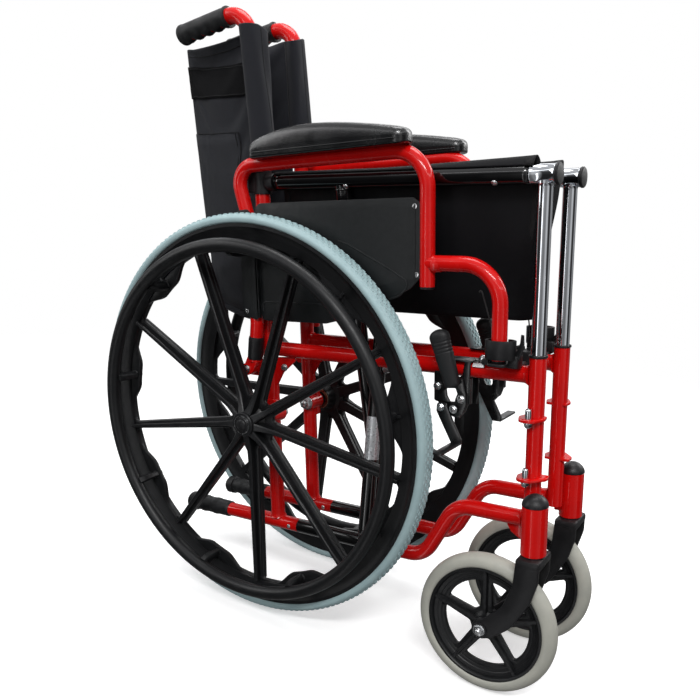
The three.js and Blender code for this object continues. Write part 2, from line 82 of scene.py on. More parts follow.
# ---- Sizes taken from the frame ----
WHEEL_R = AXLE.z / MM
WHEEL_Y = joint_at("right_wheel_spin").y
TYRE_HALF = (span("right_rear_tyre")[1].y - span("right_rear_tyre")[0].y) / 2
HANDRIM_LOW, HANDRIM_HIGH = span("right_handrim")
HANDRIM_TUBE_R = 10
HANDRIM_R = (HANDRIM_HIGH.x - HANDRIM_LOW.x) / 2 - HANDRIM_TUBE_R
HANDRIM_Y = HANDRIM_LOW.y + HANDRIM_TUBE_R
CASTER_AT = joint_at("right_caster_spin")
SWIVEL_AT = joint_at("right_caster_swivel")
CASTER_R = Vector(JOINTS["right_caster_spin"]["pos_m"]).z / MM
SIDE_Y = joint_at("fold").y
LOWER_Z = joint_at("fold").z
SEAT_Z = joint_at("left_rail_guide").z
PIVOT_Z = joint_at("brace_pivot").z
TUBE_R = 11
UPPER_Z = span("right_upper_rail")[0].z + TUBE_R
POST_X = joint_at("right_rail_guide").x + 1
POST_TOP = span("right_front_post")[1].z
ARM_PIVOT = joint_at("right_armrest_flip")
ARM_TUBE_R = 10
ARM_Y = ARM_PIVOT.y
BRAKE_PIVOT = joint_at("right_brake_lever")
SHOE_PIVOT = joint_at("right_brake_shoe")
CANE_X = -4
CANE_TOP_Y = SIDE_Y - 4


# ---- Mesh tools ----
# Directions as the right side has them, and the middle of a form drawn about its own axis.
AHEAD, OUT, INWARD, UP, ZERO = (1, 0, 0), (0, -1, 0), (0, 1, 0), (0, 0, 1), (0, 0, 0)


def loft(rings, cyclic=False, caps=True):
    """Skins a list of closed rings that hold the same number of points."""
    count, across = len(rings), len(rings[0])
    points = [tuple(p) for ring in rings for p in ring]
    faces = []
    for i in range(count if cyclic else count - 1):
        j = (i + 1) % count
        for k in range(across):
            n = (k + 1) % across
            faces.append((i * across + k, j * across + k, j * across + n, i * across + n))
    if caps and not cyclic:
        faces.append(tuple(range(across)))
        faces.append(tuple((count - 1) * across + k for k in range(across)))
    return points, faces


def axes_along(direction):
    """Two directions square to this one and to each other."""
    along = Vector(direction).normalized()
    aside = along.cross(Vector(UP))
    if aside.length < 0.1:
        aside = along.cross(Vector(INWARD))
    aside.normalize()
    return along, aside, along.cross(aside)


def turn(profile, centre, direction=OUT, segments=48, closed=False, start=0.0):
    """Turns a profile of (radius, place along the axis). A closed profile makes a ring."""
    along, aside, upright = axes_along(direction)
    centre = Vector(centre)

    def at(radius, place, angle):
        return centre + along * place + (aside * math.cos(angle) + upright * math.sin(angle)) * radius

    angles = [start + 2 * math.pi * i / segments for i in range(segments)]
    if closed:
        return loft([[at(r, p, a) for r, p in profile] for a in angles], cyclic=True)
    return loft([[at(max(r, 0.02), p, a) for a in angles] for r, p in profile])


def rounded(corners, radius, steps=8):
    """A route of straight stretches with round corners. Radius may be a list, one for each corner."""
    at = [Vector(c) for c in corners]
    route = [at[0]]
    radii = radius if isinstance(radius, list) else [radius] * (len(at) - 2)
    for before, corner, after, radius in zip(at, at[1:], at[2:], radii):
        back, on = (before - corner).normalized(), (after - corner).normalized()
        half = back.angle(on) / 2
        size = min(radius, 0.49 * min((before - corner).length, (after - corner).length) * math.tan(half))
        centre = corner + (back + on).normalized() * (size / math.sin(half))
        first = corner + back * (size / math.tan(half)) - centre
        last = corner + on * (size / math.tan(half)) - centre
        sweep = first.angle(last)
        for i in range(steps + 1):
            t = i / steps
            share = (math.sin((1 - t) * sweep), math.sin(t * sweep))
            route.append(centre + (first * share[0] + last * share[1]) / math.sin(sweep))
    route.append(at[-1])
    return route


def refined(route, step):
    """The same route with long stretches divided."""
    fine = [route[0]]
    for a, b in zip(route, route[1:]):
        pieces = max(1, round((b - a).length / step))
        fine += [a.lerp(b, (i + 1) / pieces) for i in range(pieces)]
    return fine


def sweep(route, section_at, caps=True):
    """Carries a section along a route. section_at(distance, share) lists (aside, upright) points."""
    tangents = []
    for i in range(len(route)):
        ahead, behind = route[min(i + 1, len(route) - 1)], route[max(i - 1, 0)]
        tangents.append((ahead - behind).normalized())
    _, aside, upright = axes_along(tangents[0])
    total = sum((b - a).length for a, b in zip(route, route[1:]))
    rings, travelled = [], 0.0
    for i, (place, tangent) in enumerate(zip(route, tangents)):
        if i:
            travelled += (place - route[i - 1]).length
            aside = (aside - tangent * aside.dot(tangent)).normalized()
            upright = tangent.cross(aside)
        section = section_at(travelled, travelled / total)
        rings.append([place + aside * a + upright * u for a, u in section])
    return loft(rings, caps=caps)


def circle(radius, sides=24, start=0.0):
    angles = [start + 2 * math.pi * i / sides for i in range(sides)]
    return [(radius * math.cos(a), radius * math.sin(a)) for a in angles]


def pipe(route, radius, sides=24, weld_start=0.0, weld_end=0.0, edge=0.8):
    """A round tube. A weld is a fillet that swells the tube's end where it meets another tube."""
    route = [Vector(p) for p in route]
    total = sum((b - a).length for a, b in zip(route, route[1:]))
    reach = 7.0
    extra = [edge, edge * 2, reach * 0.25, reach * 0.5, reach * 0.75, reach]
    places = sorted({0.0, *extra, *[total - e for e in extra], total})
    fine, travelled = [route[0]], 0.0
    for a, b in zip(route, route[1:]):
        length = (b - a).length
        for place in places:
            if travelled + 0.05 < place < travelled + length - 0.05:
                fine.append(a.lerp(b, (place - travelled) / length))
        fine.append(b)
        travelled += length

    def section(distance, _share):
        size = radius
        for away, weld in ((distance, weld_start), (total - distance, weld_end)):
            if weld and away < reach:
                size = radius + weld * (1 - away / reach) ** 2
            elif not weld and away < edge:
                size = radius - edge * (1 - away / edge)
        return circle(size, sides)

    return sweep(fine, section)


def rounded_outline(corners, steps=5):
    """A closed flat outline. Each corner is (x, z) or (x, z, radius)."""
    made = []
    count = len(corners)
    for i, corner in enumerate(corners):
        radius = corner[2] if len(corner) > 2 else 0
        here = Vector(corner[:2])
        before, after = Vector(corners[i - 1][:2]), Vector(corners[(i + 1) % count][:2])
        back, on = (before - here).normalized(), (after - here).normalized()
        half = back.angle(on) / 2
        if radius <= 0 or abs(half - math.pi / 2) < 0.02:
            made.append(tuple(here))
            continue
        reach = min(radius / math.tan(half), 0.48 * min((before - here).length, (after - here).length))
        size = reach * math.tan(half)
        centre = here + (back + on).normalized() * (size / math.sin(half))
        first, last = here + back * reach - centre, here + on * reach - centre
        turned = first.angle_signed(last)
        for k in range(steps + 1):
            angle = -turned * k / steps
            made.append(tuple(centre + Matrix.Rotation(angle, 2) @ first))
    return made


def disc_outline(x, z, radius, sides=24):
    return [(x + a, z + b) for a, b in circle(radius, sides)]


def plate(outline, near, far, bevel=0.6, holes=()):
    """A flat plate drawn in X and Z, from y = near to y = far, with rounded edges."""
    curve = bpy.data.curves.new("outline", "CURVE")
    curve.dimensions = "2D"
    curve.fill_mode = "BOTH"
    for loop in (outline, *holes):
        spline = curve.splines.new("POLY")
        spline.points.add(len(loop) - 1)
        for point, (x, z) in zip(spline.points, loop):
            point.co = (x, z, 0, 1)
        spline.use_cyclic_u = True
    curve.extrude = (far - near) / 2 - bevel
    curve.bevel_depth = bevel
    curve.bevel_resolution = 1
    curve.offset = -bevel
    holder = bpy.data.objects.new("outline", curve)
    mesh = bpy.data.meshes.new_from_object(holder)
    middle = (near + far) / 2
    points = [(v.co.x, middle + v.co.z, v.co.y) for v in mesh.vertices]
    faces = [tuple(p.vertices) for p in mesh.polygons]
    bpy.data.objects.remove(holder)
    bpy.data.curves.remove(curve)
    bpy.data.meshes.remove(mesh)
    return points, faces


def block(low, high, bevel=1.0):
    """A box with rounded edges."""
    body = bmesh.new()
    bmesh.ops.create_cube(body, size=1)
    size = [h - l for l, h in zip(low, high)]
    middle = [(h + l) / 2 for l, h in zip(low, high)]
    for v in body.verts:
        v.co = Vector(v.co[i] * size[i] + middle[i] for i in range(3))
    bmesh.ops.bevel(body, geom=body.edges[:], offset=bevel, segments=2, profile=0.5, affect="EDGES")
    body.verts.index_update()
    points = [tuple(v.co) for v in body.verts]
    faces = [tuple(v.index for v in f.verts) for f in body.faces]
    body.free()
    return points, faces


def moved(form, matrix):
    points, faces = form
    return [tuple(matrix @ Vector(p)) for p in points], faces


def spun(form, centre, degrees):
    """Turns a form about a line along Y through centre, from +X towards +Z."""
    centre = Vector(centre)
    turning = Matrix.Rotation(-math.radians(degrees), 4, "Y")
    return moved(form, Matrix.Translation(centre) @ turning @ Matrix.Translation(-centre))


def hex_head(centre, direction, size, height, stub=0.0):
    """A hex bolt head or nut, with its washer and, past a nut, the end of the bolt."""
    forms = [
        turn([(0, 0), (size * 1.25, 0), (size * 1.25, 0.8), (0, 0.8)], centre, direction, 20),
        turn([(0, 0.8), (size * 0.97, 0.8), (size, 1.1), (size, height - 0.5), (size * 0.86, height),
              (0, height)], centre, direction, 6, start=0.3),
    ]
    if stub:
        profile = [(0, height - 0.5)]
        place = height - 0.5
        while place < height + stub:
            profile += [(size * 0.52, place), (size * 0.46, place + 0.4)]
            place += 0.8
        profile += [(size * 0.4, place), (0, place)]
        forms.append(turn(profile, centre, direction, 12))
    return forms


def pan_head(centre, direction, radius):
    """A low round screw head with a socket in it."""
    profile = [(0, 0), (radius, 0), (radius, 0.5), (radius * 0.9, 1.2), (radius * 0.62, 1.7),
               (radius * 0.34, 1.8), (radius * 0.3, 0.9), (0, 0.9)]
    return [turn(profile, centre, direction, 16)]


# ---- Pieces ----
def mesh_of(name, forms, finishes=None, mirrored=False):
    """One mesh from several closed forms. finishes gives each form's material number."""
    points, faces, numbers = [], [], []
    for i, (form_points, form_faces) in enumerate(forms):
        base = len(points)
        points += [CHAIR @ Vector((p[0], -p[1] if mirrored else p[1], p[2])) for p in form_points]
        faces += [tuple(base + k for k in face) for face in form_faces]
        numbers += [finishes[i] if finishes else 0] * len(form_faces)
    mesh = bpy.data.meshes.new(name)
    mesh.from_pydata(points, [], faces)
    mesh.polygons.foreach_set("material_index", numbers)
    body = bmesh.new()
    body.from_mesh(mesh)
    bmesh.ops.remove_doubles(body, verts=body.verts, dist=2e-6)
    bmesh.ops.recalc_face_normals(body, faces=body.faces)
    body.to_mesh(mesh)
    body.free()
    return mesh


def shade(mesh, sharp_angle):
    """Smooth faces, with a hard edge wherever two faces meet at more than sharp_angle degrees."""
    body = bmesh.new()
    body.from_mesh(mesh)
    limit = math.radians(sharp_angle)
    for face in body.faces:
        face.smooth = True
    for edge in body.edges:
        edge.smooth = len(edge.link_faces) == 2 and edge.calc_face_angle(0) < limit
    body.to_mesh(mesh)
    body.free()


def piece(name, forms, body, material, slot=None, sharp=38, finishes=None):
    """A finished object that rides on a CAD body and stands for the CAD node of the same name, if any."""
    mirrored = name.startswith("left_")
    mesh = mesh_of(name, forms, finishes, mirrored)
    shade(mesh, sharp)
    for each in material if isinstance(material, list) else [material]:
        mesh.materials.append(each)
    made = bpy.data.objects.new(name, mesh)
    bpy.context.scene.collection.objects.link(made)
    if body:
        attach(made, body)
    if name in frame["nodes"]:
        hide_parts(name)
    slot = slot or (None if isinstance(material, list) else SLOTS.get(material))
    return made


# ---- Materials ----
class Nodes:
    """A small helper for one material's node tree, in the object's own coordinates."""

    def __init__(self, name, colour, roughness, metallic=0.0, **sockets):
        self.material = bpy.data.materials.new(name)
        self.material.use_nodes = True
        self.tree = self.material.node_tree
        self.shader = self.tree.nodes["Principled BSDF"]
        self.shader.inputs["Base Color"].default_value = (*colour, 1)
        self.shader.inputs["Roughness"].default_value = roughness
        self.shader.inputs["Metallic"].default_value = metallic
        for socket, value in sockets.items():
            self.shader.inputs[socket.replace("_", " ")].default_value = value
        self.place = self.add("ShaderNodeTexCoord").outputs["Object"]
        self.colour, self.roughness = colour, roughness

    def add(self, kind, **settings):
        node = self.tree.nodes.new(kind)
        for key, value in settings.items():
            setattr(node, key, value)
        return node

    def link(self, a, b):
        self.tree.links.new(a, b)

    def noise(self, scale, detail=4.0, rough=0.5, place=None):
        node = self.add("ShaderNodeTexNoise")
        node.inputs["Scale"].default_value = scale
        node.inputs["Detail"].default_value = detail
        node.inputs["Roughness"].default_value = rough
        self.link(place or self.place, node.inputs["Vector"])
        return node.outputs["Fac"]

    def cells(self, scale, feature="F1", place=None):
        node = self.add("ShaderNodeTexVoronoi", feature=feature)
        node.inputs["Scale"].default_value = scale
        self.link(place or self.place, node.inputs["Vector"])
        return node.outputs["Distance"]

    def ramp(self, value, low, high, out_low=0.0, out_high=1.0):
        node = self.add("ShaderNodeMapRange")
        self.link(value, node.inputs["Value"])
        for key, number in zip(("From Min", "From Max", "To Min", "To Max"),
                               (low, high, out_low, out_high)):
            node.inputs[key].default_value = number
        return node.outputs["Result"]

    def mix(self, factor, first, second):
        node = self.add("ShaderNodeMix", data_type="RGBA")
        self.link(factor, node.inputs["Factor"])
        for socket, value in ((node.inputs[6], first), (node.inputs[7], second)):
            if isinstance(value, tuple):
                socket.default_value = (*value, 1)
            else:
                self.link(value, socket)
        return node.outputs[2]

    def maths(self, operation, first, second=0.5):
        node = self.add("ShaderNodeMath", operation=operation)
        for socket, value in ((node.inputs[0], first), (node.inputs[1], second)):
            if isinstance(value, (int, float)):
                socket.default_value = value
            else:
                self.link(value, socket)
        return node.outputs[0]

    def set(self, socket, value):
        self.link(value, self.shader.inputs[socket])

    def bump(self, height, strength, distance, under=None):
        node = self.add("ShaderNodeBump")
        node.inputs["Strength"].default_value = strength
        node.inputs["Distance"].default_value = distance
        self.link(height, node.inputs["Height"])
        if under:
            self.link(under, node.inputs["Normal"])
        self.link(node.outputs["Normal"], self.shader.inputs["Normal"])
        return node.outputs["Normal"]

    def worn_edges(self, amount=1.0):
        """1 along the mesh's sharp outer edges, broken up by noise."""
        point = self.add("ShaderNodeNewGeometry").outputs["Pointiness"]
        edge = self.ramp(point, 0.53, 0.6, 0.0, amount)
        return self.maths("MULTIPLY", edge, self.ramp(self.noise(140), 0.42, 0.6))


def painted(name, colour, deeper, roughness, coat=0.6, specular=0.4):
    """Gloss powder coat: a faint orange peel, soft cloudiness and duller patches."""
    m = Nodes(name, colour, roughness, Coat_Weight=coat, Coat_Roughness=0.05, Specular_IOR_Level=specular)
    m.set("Base Color", m.mix(m.ramp(m.noise(22, 3), 0.35, 0.7), deeper, colour))
    m.set("Roughness", m.ramp(m.noise(60, 5), 0.3, 0.7, roughness * 0.75, roughness * 1.35))
    m.bump(m.noise(900, 2), 0.05, 0.0006)
    return m.material


def plated(name, colour, roughness, grain):
    """Bright plated metal with fine handling marks."""
    m = Nodes(name, colour, roughness, metallic=1.0)
    m.set("Roughness", m.ramp(m.noise(grain, 6, 0.65), 0.35, 0.75, roughness * 0.6, roughness * 1.8))
    tint = tuple(c * 0.9 for c in colour)
    m.set("Base Color", m.mix(m.ramp(m.noise(grain * 0.3, 3), 0.4, 0.65), tint, colour))
    m.bump(m.noise(grain * 6, 3), 0.018, 0.0003)
    return m.material


def moulded(name, colour, roughness, grain=1400, strength=0.18, scuff=1.6):
    """Moulded plastic or rubber with a fine spark-eroded grain and lighter scuffed edges."""
    m = Nodes(name, colour, roughness, Specular_IOR_Level=0.3)
    scuffed = tuple(min(1.0, c * scuff + 0.008) for c in colour)
    cloudy = m.mix(m.ramp(m.noise(35, 4), 0.35, 0.72), colour, tuple(c * 1.22 for c in colour))
    m.set("Base Color", m.mix(m.worn_edges(0.7), cloudy, scuffed))
    m.set("Roughness", m.ramp(m.noise(90, 5), 0.3, 0.7, roughness * 0.82, roughness * 1.15))
    m.bump(m.noise(grain, 2, 0.6), strength, 0.0003)
    return m.material


def rubber(name, colour, roughness, dusty_and_groove_shade):
    # The dusty colour tints random cloudy patches and, darkened, also gives the painted shade in the grooves.
    m = Nodes(name, colour, roughness, Specular_IOR_Level=0.35)
    cloudy = m.mix(m.ramp(m.noise(48, 6, 0.6), 0.3, 0.75), dusty_and_groove_shade, colour)
    # Painted shade: where pointiness is low, in the grooves round the tread blocks, the base colour drops to
    # 0.42 of the dusty tone.
    groove = m.ramp(m.add("ShaderNodeNewGeometry").outputs["Pointiness"], 0.36, 0.485)
    m.set("Base Color", m.mix(groove, tuple(c * 0.42 for c in dusty_and_groove_shade), cloudy))
    m.set("Roughness", m.ramp(m.noise(120, 5), 0.3, 0.7, roughness * 0.85, min(1, roughness * 1.12)))
    m.bump(m.noise(1600, 2, 0.6), 0.2, 0.00025)
    return m.material


def leather(name, colour, roughness, cell=900):
    """Coated vinyl: small pebble grain over a soft gloss."""
    m = Nodes(name, colour, roughness, Coat_Weight=0.35, Coat_Roughness=0.2)
    grain = m.maths("SUBTRACT", 1.0, m.cells(cell, "F1"))
    m.set("Roughness", m.ramp(m.noise(40, 5), 0.3, 0.7, roughness * 0.75, roughness * 1.3))
    m.set("Base Color", m.mix(m.ramp(m.noise(30, 4), 0.35, 0.7), colour, tuple(c * 1.5 for c in colour)))
    under = m.bump(m.noise(70, 4), 0.12, 0.002)
    m.bump(grain, 0.16, 0.0005, under)
    return m.material


def woven(name, colour, lighter, pitch, strength, roughness=0.85, **sockets):
    """Plain weave that follows the cloth's own width and length, given in metres by its UV map."""
    m = Nodes(name, colour, roughness, **sockets)
    uv = m.add("ShaderNodeUVMap").outputs["UV"]
    split = m.add("ShaderNodeSeparateXYZ")
    m.link(uv, split.inputs[0])
    turns = math.pi / pitch
    warp = m.maths("SINE", m.maths("MULTIPLY", split.outputs[0], turns), 0)
    weft = m.maths("SINE", m.maths("MULTIPLY", split.outputs[1], turns), 0)
    over = m.maths("MULTIPLY", warp, weft)
    ribs = m.maths("ABSOLUTE", over, 0)
    fibre = m.noise(5200, 2, 0.7)
    height = m.maths("ADD", m.maths("MULTIPLY", ribs, 0.8), m.maths("MULTIPLY", fibre, 0.25))
    cloud = m.ramp(m.noise(26, 5, 0.6), 0.3, 0.75)
    thread = m.maths("MULTIPLY", m.ramp(over, -1, 1), m.ramp(cloud, 0, 1, 0.55, 1.0))
    m.set("Base Color", m.mix(thread, colour, lighter))
    under = m.bump(m.noise(120, 4), 0.1, 0.0015)
    m.bump(height, strength, 0.00035, under)
    return m.material


def label_paper(name):
    m = Nodes(name, (0.62, 0.64, 0.66), 0.3, metallic=0.55)
    m.set("Roughness", m.ramp(m.noise(220, 5), 0.35, 0.7, 0.18, 0.5))
    m.bump(m.noise(130, 4), 0.35, 0.0012)
    return m.material


RED = painted("red_powder_coat", (0.66, 0.0055, 0.0045), (0.58, 0.004, 0.0035), 0.24, 0.5, 0.12)
BLACK_PAINT = painted("black_gloss_paint", (0.004, 0.004, 0.0045), (0.0028, 0.0028, 0.003), 0.16)
BRAKE_PAINT = painted("black_enamel", (0.0045, 0.0045, 0.005), (0.003, 0.003, 0.0035), 0.32, 0.3)
CHROME = plated("chrome_plate", (0.60, 0.62, 0.65), 0.05, 60)
ZINC = plated("zinc_plate", (0.62, 0.63, 0.64), 0.27, 160)
BRONZE = plated("bearing_race", (0.42, 0.30, 0.20), 0.35, 160)
WHEEL_BLACK = moulded("wheel_composite", (0.0065, 0.0068, 0.0075), 0.38)
CLIP_BLACK = moulded("clip_plastic", (0.0072, 0.0072, 0.008), 0.42, 1100, 0.22)
PANEL_BLACK = moulded("panel_plastic", (0.0052, 0.0062, 0.0068), 0.48, 700, 0.3)
GRIP_BLACK = moulded("grip_vinyl", (0.009, 0.0094, 0.0102), 0.5, 1700, 0.3)
PAD_BLACK = leather("pad_vinyl", (0.0042, 0.0045, 0.005), 0.22)
HEM_VINYL = painted("hem_vinyl", (0.0035, 0.0035, 0.004), (0.0025, 0.0025, 0.003), 0.1)
TYRE_BLUE = rubber("tyre_blue_grey", (0.40, 0.535, 0.55), 0.7, (0.335, 0.465, 0.485))
TYRE_GREY = rubber("tyre_warm_grey", (0.47, 0.465, 0.405), 0.38, (0.40, 0.40, 0.355))
BACK_CLOTH = woven("back_nylon", (0.0055, 0.006, 0.0085), (0.0165, 0.0178, 0.0245), 0.0011, 0.5,
                   0.8, Specular_IOR_Level=0.25, Sheen_Weight=0.06, Sheen_Roughness=0.5)
SEAT_CLOTH = woven("seat_nylon", (0.0026, 0.0027, 0.0034), (0.0056, 0.0058, 0.0074), 0.0008, 0.28,
                   0.6, Specular_IOR_Level=0.15)
BAND_CLOTH = woven("hook_band", (0.0025, 0.0025, 0.003), (0.0075, 0.0075, 0.0085), 0.0016, 0.9, 0.95,
                   Specular_IOR_Level=0.15)
TRIM_CLOTH = woven("binding_tape", (0.0032, 0.0032, 0.0036), (0.0100, 0.0100, 0.0112), 0.0009, 0.6, 0.7,
                   Specular_IOR_Level=0.25)
LABEL = label_paper("blank_label")
SLOTS = {
    RED: "frame_paint", BLACK_PAINT: "brace_paint", BRAKE_PAINT: "brake_paint",
    CHROME: "chrome", ZINC: "zinc",
    WHEEL_BLACK: "wheel_plastic", CLIP_BLACK: "clip_plastic", PANEL_BLACK: "panel_plastic",
    GRIP_BLACK: "grip_vinyl", PAD_BLACK: "pad_vinyl",
    TYRE_BLUE: "rear_tyre", TYRE_GREY: "caster_tyre",
}


# ---- Side frame ----
def weld_bead(centre, direction, radius, bead=1.6):
    """A round bead of weld about a tube, kept out of the tube's bore."""
    profile = [(max(radius - 1 + bead * math.cos(a), radius - 0.7), bead * math.sin(a))
               for a in (2 * math.pi * i / 10 for i in range(10))]
    return turn(profile, centre, direction, 40, closed=True)


def lug(z, low_x, high_x, pin_x):
    """A footrest lug: a round-ended plate that hooks round the post and leaves its bore open."""
    outer_y = -72
    hook = [math.radians(56 - 292 * i / 36) for i in range(37)]
    outline = rounded_outline([
        (pin_x - 10, outer_y, 9), (pin_x + 9, outer_y, 9), (high_x, SIDE_Y - 6, 10), (high_x - 2, SIDE_Y + 9,
                                                                                      3),
        *[(POST_X + (TUBE_R - 0.2) * math.cos(a), SIDE_Y + (TUBE_R - 0.2) * math.sin(a)) for a in hook],
        (low_x + 5, SIDE_Y + 9, 3), (low_x, SIDE_Y - 6, 10),
    ])
    points, faces = plate(outline, z + 0.6, z + 4.4, 0.9)
    return [(x, y, height) for x, height, y in points], faces


def front_post(side):
    barrel = {"x": SWIVEL_AT.x, "y": SWIVEL_AT.y, "low": 180, "high": 247, "radius": 17}
    middle = (barrel["low"] + barrel["high"]) / 2
    post_low = 203
    post = turn([(9.7, 0), (TUBE_R, 0.4), (TUBE_R, POST_TOP - post_low - 0.6),
                 (10.4, POST_TOP - post_low), (9.7, POST_TOP - post_low)],
                (POST_X, SIDE_Y, post_low), UP, 40, closed=True)
    tube = turn([(8, 0), (16.2, 0), (17, 0.8), (17, 66.2), (16.2, 67), (8, 67)],
                (barrel["x"], barrel["y"], barrel["low"]), UP, 44, closed=True)
    web = block((POST_X - 3.5, barrel["y"] + 4, middle - 22), (POST_X + 5, SIDE_Y - 9.9, middle + 22), 0.4)
    beads = [weld_bead((POST_X, SIDE_Y, z), UP, TUBE_R - 0.4, 1.5) for z in (349.5, 357.5, 270.6, 278)]
    forms = [post, tube, web, lug(351, 408, 443.5, 425), lug(272, 409, 450, 424), *beads]
    piece(f"{side}_front_post", forms, f"{side}_frame", RED, sharp=40)

    collar = turn([(9.9, -6), (9.9, 1.8), (10.6, 2.4), (12.0, 2.1), (12.4, 1.0), (12.2, -0.6), (10.4, -1.2),
                   (10.3, -6)], (POST_X, SIDE_Y, POST_TOP), UP, 40, closed=True)
    piece(f"{side}_post_collar", [collar], f"{side}_frame", CLIP_BLACK)
    cap = turn([(0, -4), (15, -4), (15, 0), (17.4, 0.2), (17.5, 1.4), (16.7, 4.4), (14.4, 8.4), (10.8, 11.8),
                (6.4, 14.2), (2.6, 15.1), (0, 15.3)], (barrel["x"], barrel["y"], barrel["high"]), UP, 40)
    piece(f"{side}_barrel_cap", [cap], f"{side}_frame", CLIP_BLACK)

    pins = []
    for pin_x, base in ((425, 351), (424, 272)):
        foot = (pin_x, -63.4, base)
        pins.append(turn([(0, -7.4), (3.0, -7.4), (3.4, -6.8), (3.4, 4), (4.1, 4.6), (4.1, 14.8),
                          (3.5, 16.8), (2.0, 18.1), (0, 18.5)], foot, UP, 24))
        pins.append(turn([(0, -1.2), (6.2, -1.2), (6.4, -0.6), (6.2, 0), (0, 0)], foot, UP, 28))
        pins.append(turn([(0, -5.6), (5.0, -5.6), (5.4, -5.0), (5.4, -1.6), (5.1, -1.2), (0, -1.2)], foot,
                         UP, 6))
    piece(f"{side}_lug_pins", pins, f"{side}_frame", CHROME)
    washer = turn([(7.5, -1.4), (13.4, -1.4), (13.8, -0.9), (13.8, 0), (7.5, 0)],
                  (barrel["x"], barrel["y"], barrel["low"]), UP, 36, closed=True)
    piece(f"{side}_barrel_washer", [washer], f"{side}_frame", ZINC)


def rails(side):
    body = f"{side}_frame"
    upper = pipe([(CANE_X + TUBE_R - 0.5, SIDE_Y, UPPER_Z), (POST_X - TUBE_R + 0.5, SIDE_Y, UPPER_Z)],
                 TUBE_R, 32, weld_start=2.4, weld_end=2.8)
    piece(f"{side}_upper_rail", [upper], body, RED)

    rod_from, rod_to = 39, 196
    lower = [
        pipe([(-188, SIDE_Y, LOWER_Z), (rod_from - 0.2, SIDE_Y, LOWER_Z)], TUBE_R, 32),
        pipe([(rod_from - 4, SIDE_Y, LOWER_Z), (rod_to + 3, SIDE_Y, LOWER_Z)], 7.9, 24),
    ]
    piece(f"{side}_lower_rail", lower, body, RED)
    neck_route = rounded([(rod_to + 0.3, SIDE_Y, LOWER_Z), (266, SIDE_Y, LOWER_Z), (318, SIDE_Y, 214),
                          (POST_X - TUBE_R + 0.5, SIDE_Y, 214)], 42, 10)
    neck = [pipe(neck_route, TUBE_R, 32, weld_end=2.6)]
    shade_plate = rounded_outline([(401, 192, 6), (POST_X - 9, 180, 3), (POST_X - 9, 206, 2), (392, 206, 4)])
    neck.append(plate(shade_plate, SIDE_Y - 1.8, SIDE_Y + 1.8, 0.6))
    piece(f"{side}_goose_neck", neck, body, RED)

    def ferrule(distance, _share):
        ridge = 0.9 * max(0.0, math.sin(distance / 4.2)) if 12 < distance < 74 else 0.0
        swell = 2.0 if distance < 16 else 0.0
        end = max(0.0, 3.0 - distance) * 0.9 + max(0.0, distance - 88) * 0.9
        return [(a * (13.2 + swell + ridge - end), b * (13.2 + swell + ridge - end))
                for a, b in circle(1, 32)]

    tip_route = refined([Vector((-196, SIDE_Y, LOWER_Z)), Vector((-105, SIDE_Y, LOWER_Z))], 1.1)
    piece(f"{side}_tipping_tip", [sweep(tip_route, ferrule)], body, GRIP_BLACK, sharp=50)
    screws = [*pan_head((25, SIDE_Y - TUBE_R + 0.3, LOWER_Z), OUT, 3.4),
              *pan_head((213, SIDE_Y - TUBE_R + 0.3, LOWER_Z), OUT, 3.4),
              *pan_head((25, SIDE_Y + TUBE_R - 0.3, LOWER_Z), INWARD, 3.4)]
    piece(f"{side}_rail_screws", screws, body, ZINC)


CANE_CORNER, GRIP_END = Vector((-11, CANE_TOP_Y, 881)), Vector((-138, CANE_TOP_Y, 860.5))
CANE_ROUTE = rounded([(CANE_X, SIDE_Y, LOWER_Z + 9), (CANE_X, SIDE_Y, 700), CANE_CORNER, GRIP_END], [90, 31],
                     12)
GRIP_ALONG = (CANE_CORNER - GRIP_END).normalized()


def back_cane(side):
    body = f"{side}_frame"
    sleeve = turn([(7, 0), (12.4, 0), (13, 0.6), (13, 27), (12.4, 27.6), (7, 27.6)],
                  (0, SIDE_Y + 11.8, WHEEL_R), OUT, 40, closed=True)
    gusset = plate(rounded_outline([(3, 395, 2), (44, 399, 4), (44, 392, 3), (20, 372, 10), (8, 352, 4),
                                    (3, 352, 2)]),
                   SIDE_Y - 1.8, SIDE_Y + 1.8, 0.6)
    strap = plate(rounded_outline([(-16, 282, 3), (9, 282, 3), (9, 330, 3), (-16, 330, 3)]),
                  SIDE_Y - TUBE_R - 1.2, SIDE_Y - 2, 0.7)
    forms = [pipe(CANE_ROUTE, TUBE_R, 32, weld_start=2.4), sleeve, gusset, strap,
             weld_bead((CANE_X, SIDE_Y, 341), UP, TUBE_R - 0.4, 1.2)]
    piece(f"{side}_back_cane", forms, body, RED, sharp=42)

    inner = SIDE_Y + 13
    bolt = [
        turn([(0, 0), (5.8, 0), (5.8, 82), (5.2, 83), (0, 83)], (0, inner, WHEEL_R), OUT, 24),
        *hex_head((0, inner + 0.2, WHEEL_R), INWARD, 9.4, 7.8, 3.0),
    ]
    piece(f"{side}_axle_bolt", bolt, body, ZINC)
    plate_y = SIDE_Y - TUBE_R
    bracket = [plate(rounded_outline([(-38, 366, 6), (6, 366, 3), (6, 392, 3), (-20, 392, 6),
                                      (-38, 388, 8)]),
                     plate_y - 2.4, plate_y - 0.2, 0.5),
               turn([(0, 0), (4, 0), (4, 22), (0, 22)], (ARM_PIVOT.x, plate_y - 1, ARM_PIVOT.z), OUT, 20)]
    piece(f"{side}_arm_bracket", bracket, body, RED)
    bolts = [*hex_head((ARM_PIVOT.x, -79.2, ARM_PIVOT.z), OUT, 5.4, 4.6, 1.8),
             *hex_head((24, SIDE_Y - 1.8, 381), OUT, 4.6, 3.8),
             *hex_head((-2, plate_y - 2.2, 372), OUT, 4.0, 3.2)]
    piece(f"{side}_bracket_bolts", bolts, body, ZINC)


